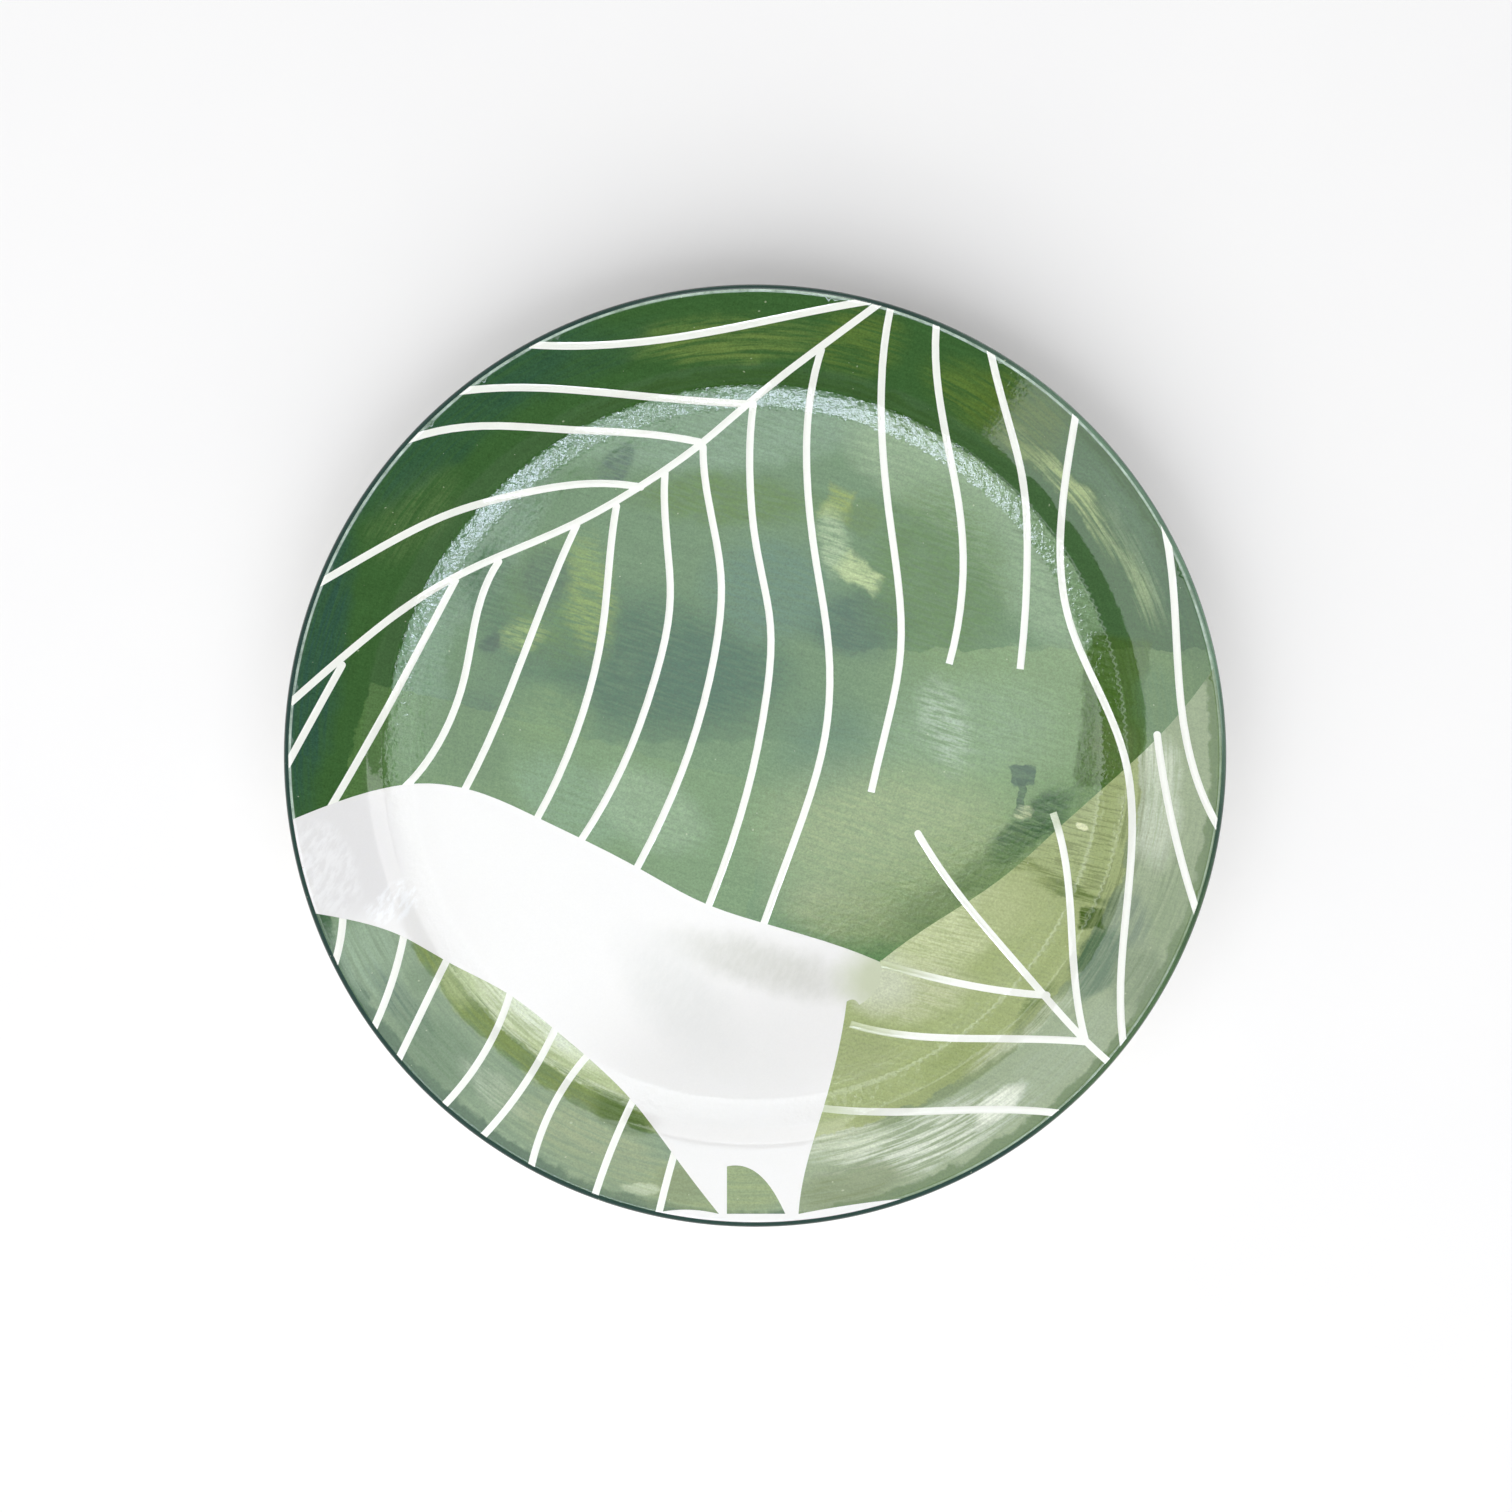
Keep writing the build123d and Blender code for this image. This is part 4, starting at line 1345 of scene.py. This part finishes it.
@dataclass
class Body:
    """The turned clay, its foot and the coats of its back."""

    shape: PlateShape
    foot_radius: float = 83.0 * MM
    foot_top: float = 6.0 * MM
    foot_tip: float = 4.0 * MM
    foot_edge: float = 0.9 * MM
    foot_height: float = 4.0 * MM
    lute_depth: float = 0.95 * MM
    glaze_line: float = 1.2 * MM
    glaze_depth: float = 0.7 * MM
    pool_radius: float = 1.4 * MM

    def foot_wall(self, side: int, z: float) -> float:
        """Radius of the foot's outer wall (side 1) or inner wall (side -1) at a height."""
        half = (self.foot_tip + (self.foot_top - self.foot_tip) * z / self.foot_height) / 2
        return self.foot_radius + side * half

    def foot_section(self) -> Section:
        """The foot ring's closed section, with its standing edges rounded."""
        top = self.foot_height + self.lute_depth
        inner, outer = self.foot_wall(-1, self.foot_height), self.foot_wall(1, self.foot_height)
        section: Section = [(inner, top), (inner, self.foot_height)]
        slope = math.degrees(math.atan2(self.foot_height, (self.foot_top - self.foot_tip) / 2))
        trim = self.foot_edge * math.tan(math.radians(slope / 2))
        for side in (-1, 1):
            corner = self.foot_wall(side, 0)
            up = []
            for part in (1.0, 0.55, 0.25):
                up.append((corner + side * trim * cosine(slope) * part, trim * sine(slope) * part))
            flat = [(corner - side * trim * part, 0.0) for part in (0.45, 1.0)]
            round_edge = [up[0], (up[1][0] - side * 0.12 * MM, up[1][1]), (flat[0][0], 0.07 * MM), flat[1]]
            section.extend(round_edge if side < 0 else round_edge[::-1])
        section.extend([(outer, self.foot_height), (outer, top)])
        return section

    def back_section(self) -> Section:
        """The back glaze's closed section, from the wrap line to the glaze line on the foot."""
        corner_r = self.foot_wall(1, self.foot_height) + self.glaze_depth
        outer = self.shape.back(corner_r + self.pool_radius)
        walk = Walk(*outer[-1], 180.0)
        walk.turn(90.0, self.pool_radius * 0.999)
        line_r = self.foot_wall(1, self.glaze_line)
        outer += walk.points[1:]
        outer += [(line_r + 0.62 * self.glaze_depth, self.glaze_line + 0.25 * MM), (line_r, self.glaze_line)]
        inner = inset(self.shape.back(corner_r), 0.5 * MM)
        return outer + [(self.foot_wall(1, self.foot_height) - 0.1 * MM, self.foot_height)] + inner[::-1]

    def recess_section(self) -> Section:
        """The closed section of the glaze inside the foot."""
        low = self.shape.base_z
        wall = self.foot_wall(-1, self.foot_height)
        line_r = self.foot_wall(-1, self.glaze_line)
        walk = Walk(0.0, low, 0.0).forward(wall - self.glaze_depth - self.pool_radius)
        walk.turn(-90.0, self.pool_radius)
        edge = [(line_r - 0.62 * self.glaze_depth, self.glaze_line + 0.25 * MM), (line_r, self.glaze_line)]
        return walk.points + edge + [(wall, self.foot_height), (0.0, self.foot_height)]

    def build(self) -> None:
        """Make and dress the body's pieces."""
        lathe = Lathe(self.shape)
        clay = CLAY.material()
        glaze = BACK.material()
        frame["nodes"]["clay_body"].data.materials.clear()
        frame["nodes"]["clay_body"].data.materials.append(clay)
        Piece.placed(lathe.turned("standing_foot_ring", self.foot_section(), clay), "clay", "foot_ring")
        Piece.placed(lathe.turned("glazed_back", self.back_section(), glaze), "white_glaze", "back_glaze")
        recess = lathe.turned("glazed_foot_recess", self.recess_section(), glaze)
        Piece.placed(recess, "white_glaze", "foot_recess_glaze")


@dataclass
class Painting:
    """The face: white ground, fields of colour, veins, and the band round the lip."""

    shape: PlateShape
    ground_drop: float = 0.12 * MM
    ground_depth: float = 0.5 * MM
    upper: Relief = Relief(edge=0.0, top=0.0, width=0.3 * MM, overlap=0.0)
    middle: Relief = Relief(edge=-0.03 * MM, top=-0.03 * MM, width=0.3 * MM, overlap=0.08 * MM)
    lower: Relief = Relief(edge=-0.06 * MM, top=-0.06 * MM, width=0.3 * MM, overlap=0.2 * MM)
    raised: Relief = Relief(edge=0.01 * MM, top=0.07 * MM, width=1.0 * MM, overlap=0.04 * MM)

    def ground(self) -> bpy.types.Object:
        """The white ground under the whole face."""
        face = self.shape.to_lip().points
        top = inset(face, self.ground_drop)
        low = inset(face, self.ground_depth)
        return Lathe(self.shape).turned("white_ground", top + low[::-1], WHITE.material())

    def band(self) -> bpy.types.Object:
        """The dark band round the lip."""
        outer = self.shape.lip(self.shape.band_angle + 4, self.shape.wrap_angle)
        inner = inset(outer, 0.5 * MM)
        return Lathe(self.shape).turned("rim_band_glazed", outer + inner[::-1], RIM.material())

    def build(self) -> None:
        """Make and dress the painting."""
        Piece.placed(self.ground(), "white_slip", "white_slip", "clear_face_glaze")
        Piece.placed(self.band(), "rim_paint", "rim_band")
        left = LEFT_LEAF.material()
        vein = VEIN.material()
        fields = (
            ("white_field_paint", "white_field", "white_paint", WHITE.material(), self.lower),
            ("large_leaf_paint", "large_leaf", "dark_green_paint", LARGE_LEAF.material(), self.upper),
            ("right_leaf_paint", "right_leaf", "sage_paint", RIGHT_LEAF.material(), self.middle),
            ("left_leaf_paint", "left_leaf", "grey_green_paint", left, self.middle),
            ("small_patch_paint", "small_patch", "grey_green_paint", left, self.middle),
        )
        for node, name, slot, finish, relief in fields:
            patch = Patch(self.shape, node, relief, (0.3 * MM,))
            Piece.placed(patch.build(name, finish), slot, node)
        for leaf in ("large_leaf", "right_leaf", "left_leaf"):
            patch = Patch(self.shape, f"{leaf}_veins", self.raised, (0.3 * MM, 0.65 * MM, 1.0 * MM))
            Piece.placed(patch.build(f"{leaf}_trailed_veins", vein), "vein_slip", f"{leaf}_veins")


# ---------------------------------------------------------------- studio


@dataclass
class Studio:
    """Floor, lights, surroundings and camera."""

    shape: PlateShape
    camera_place: tuple[float, float] = (0.26 * MM, -0.1 * MM)
    camera_height: float = 1.0226
    lens: float = 85.0
    sensor: float = 36.0
    floor_radius: float = 1.5
    ceiling_height: float = 3.2
    ceiling_turn: float = 116.0
    ceiling_light: float = 3.0
    wall_light: float = 2.7
    window_light: float = 16.0
    ceiling_tint: Rgb = (0.93, 0.98, 1.0)
    window_tint: Rgb = (0.70, 0.75, 1.0)
    fill: float = 0.3
    card_azimuth: float = 256.0
    ceiling_radius: float = 1.6
    seen_light: float = 0.9

    def lamp(
        self, name: str, radiance: float, size: tuple[float, float], place: tuple[float, float, float],
        lit: bpy.types.Collection,
    ) -> bpy.types.Object:
        """A soft rectangular lamp that faces the plate and lights only some of the scene.

        Args:
            name: its name.
            radiance: how bright its face is; a white sheet in full light is 1.
            size: width and height in metres.
            place: the azimuth where it stands, its degrees above the horizon, and its distance.
            lit: the things it lights.

        Returns:
            The lamp.
        """
        azimuth, elevation, reach = place
        light = bpy.data.lights.new(name, "AREA")
        light.shape = "RECTANGLE"
        light.size, light.size_y = size
        light.energy = math.pi * size[0] * size[1] * radiance
        made = bpy.data.objects.new(name, light)
        flat = cosine(elevation)
        away = Vector((cosine(azimuth) * flat, sine(azimuth) * flat, sine(elevation)))
        made.location = away * reach
        made.rotation_euler = away.to_track_quat("Z", "Y").to_euler()
        made.visible_camera = False
        made.light_linking.receiver_collection = lit
        bpy.context.scene.collection.objects.link(made)
        return made

    @staticmethod
    def circle(radius: float, height: float, count: int) -> list[tuple[float, float, float]]:
        """Points round the plate's axis."""
        turns = [2 * math.pi * step / count for step in range(count)]
        return [(radius * math.cos(turn), radius * math.sin(turn), height) for turn in turns]

    def ceiling(self, plate: bpy.types.Collection) -> None:
        """A pale ceiling with two windows, whose reflection lies as a haze and two gleams on the glaze.

        Args:
            plate: the pieces that it lights.
        """
        made, shader = new_material("ceiling_finish")
        x, y, _ = shader.axes(shader.vector("MULTIPLY", shader.place(), (MM, MM, MM)))
        r = x.hypot(y).larger(0.01)
        ragged = shader.noise(shader.joined(x / r, y / r, r * 0.4), 0.02, 4.0, 0.7) - 0.5
        frayed = r + ragged * 0.3

        def facing(azimuth: float, half: float) -> Value:
            """How far a place lies within a sector of the ceiling, 0 to 1."""
            towards = (x * cosine(azimuth) + y * sine(azimuth)) / r + ragged * 0.06
            return towards.smooth(cosine(half) - 0.02, cosine(half) + 0.02)

        def ring(inner: float, outer: float) -> Value:
            """How far a place lies between two radii, 0 to 1."""
            return frayed.smooth(inner - 0.01, inner + 0.01) * frayed.smooth(outer + 0.01, outer - 0.01)

        beyond = x * cosine(self.ceiling_turn) + y * sine(self.ceiling_turn)
        side = (x + ragged * 0.1).smooth(0.405, 0.395)
        middle = frayed.smooth(0.44, 0.40) * beyond.smooth(-0.29, -0.15) * side
        haze = middle + ring(0.42, 0.82) * facing(338, 123)
        wall = r.smooth(0.95, 1.0) * facing(128, 106)
        flecked = shader.noise(shader.joined(x / r, y / r, r * 2.0), 0.03, 2.0, 0.6).smooth(0.44, 0.56)
        windows = ring(0.545, 0.69) * facing(248, 27) + ring(0.645, 0.80) * facing(316, 17)
        edges = ring(0.725, 0.79) * facing(267, 16) + ring(0.785, 0.82) * facing(285, 40) * 0.7
        pale = Colour(shader, (haze * self.ceiling_light + wall * self.wall_light).socket)
        bright = Colour(shader, ((windows + edges * flecked) * self.window_light).socket)
        room = pale.mixed(self.ceiling_tint, 1.0, "MULTIPLY")
        glow = room.mixed(bright.mixed(self.window_tint, 1.0, "MULTIPLY"), 1.0, "ADD")
        black = {"Base Color": (0.0, 0.0, 0.0), "Specular IOR Level": 0.0}
        shader.surface({**black, "Emission Color": glow, "Emission Strength": 1.0})
        rim = self.circle(self.ceiling_radius, self.ceiling_height, 96)
        panel = new_object("ceiling", rim, [tuple(reversed(range(len(rim))))], made)
        panel.visible_camera = False
        panel.visible_shadow = False
        panel.light_linking.receiver_collection = plate

    def floor_lamps(self, floor: bpy.types.Collection) -> None:
        """Four wide cards, one above the other, for a long soft shadow, and a lamp straight above."""
        for number, (elevation, height, radiance) in enumerate((
            (17.5, 1.3, 4.0), (33.5, 1.5, 2.25), (52.0, 1.75, 1.57), (71.0, 1.57, 1.46),
        )):
            self.lamp(f"card_{number}", radiance, (12.5, height), (self.card_azimuth, elevation, 5.0), floor)
        self.lamp("top_lamp", 33.0, (0.3, 0.3), (0, 90, 2.0), floor)

    def soft_lamp(self, plate: bpy.types.Collection) -> None:
        """A wide soft lamp above the plate that has no reflection of its own."""
        lamp = self.lamp("soft_lamp", 4.6, (0.8, 0.8), (self.card_azimuth, 76, 1.4), plate)
        lamp.visible_glossy = False

    def gleam_cards(self, plate: bpy.types.Collection) -> None:
        """Two cards that are seen only as a gleam on the steep wall of the white field's ends."""
        for name, width, azimuth in (("foot_gleam", 0.56, 90), ("edge_gleam", 0.36, 12)):
            card = self.lamp(name, 2.7, (width, 0.62), (azimuth, 51, 1.6), plate)
            card.visible_diffuse = False

    def surroundings(self) -> None:
        """An even, dim fill in a pale room."""
        world = bpy.data.worlds.new("studio")
        world.use_nodes = True
        bpy.context.scene.world = world
        shader = Shader(world.node_tree)
        seen = Value(shader, shader.node("ShaderNodeLightPath", {}, {}).outputs["Is Camera Ray"])
        brightness = Colour(shader, (self.fill + seen * (self.seen_light - self.fill)).socket)
        sky = shader.node("ShaderNodeBackground", {}, {"Color": brightness, "Strength": 1.0})
        shader.node("ShaderNodeOutputWorld", {}, {"Surface": sky.outputs[0]})

    def floor(self) -> bpy.types.Object:
        """A pale matt table top."""
        made, shader = new_material("floor_finish")
        clouds = shader.noise(shader.place(), 60.0, 3.0, 0.5)
        colour = Colour(shader, rgb(244, 244, 244)).mixed(rgb(241, 241, 242), clouds)
        shader.surface({"Base Color": colour, "Roughness": 0.85, "Specular IOR Level": 0.0})
        edge = self.circle(self.floor_radius, 0.0, 128)
        table = new_object("floor", edge, [tuple(range(len(edge)))], made)
        return table

    def camera(self) -> None:
        """A camera straight above the plate, with the top of the painting up."""
        lens = bpy.data.cameras.new("camera")
        lens.lens = self.lens
        lens.sensor_width = self.sensor
        made = bpy.data.objects.new("camera", lens)
        made.location = (*self.camera_place, self.camera_height + self.shape.lip_point(90)[1])
        bpy.context.scene.collection.objects.link(made)
        bpy.context.scene.camera = made

    def build(self) -> None:
        """Set up the studio."""
        lit_plate = bpy.data.collections.new("lit_plate")
        lit_floor = bpy.data.collections.new("lit_floor")
        for made in bpy.context.scene.objects:
            if made.type == "MESH":
                lit_plate.objects.link(made)
        self.camera()
        lit_floor.objects.link(self.floor())
        self.ceiling(lit_plate)
        self.soft_lamp(lit_plate)
        self.gleam_cards(lit_plate)
        self.floor_lamps(lit_floor)
        self.surroundings()
        bpy.context.scene.view_settings.view_transform = "Standard"


def plate_shape() -> PlateShape:
    """The plate's section from the frame, with the flange at the slope that brings the lip to its height."""
    low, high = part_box("clear_face_glaze")
    coat_depth = 0.8 * MM
    glaze_depth = 0.3 * MM
    slack = 0.01 * MM
    base_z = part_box("foot_recess_glaze")[1].z - coat_depth
    gentle, steep = 10.0, 20.0
    for _ in range(40):
        middle = (gentle + steep) / 2
        shape = PlateShape(high.x, low.z + glaze_depth, base_z, flange_angle=middle)
        if shape.lip_point(180)[1] > high.z - slack:
            steep = middle
        else:
            gentle = middle
    return shape


def main() -> None:
    """Build the plate and the studio."""
    logging.basicConfig(level=logging.INFO, format="%(name)s: %(message)s")
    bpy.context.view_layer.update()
    shape = plate_shape()
    Body(shape).build()
    Painting(shape).build()
    Studio(shape).build()


if __name__ == "__main__":
    main()
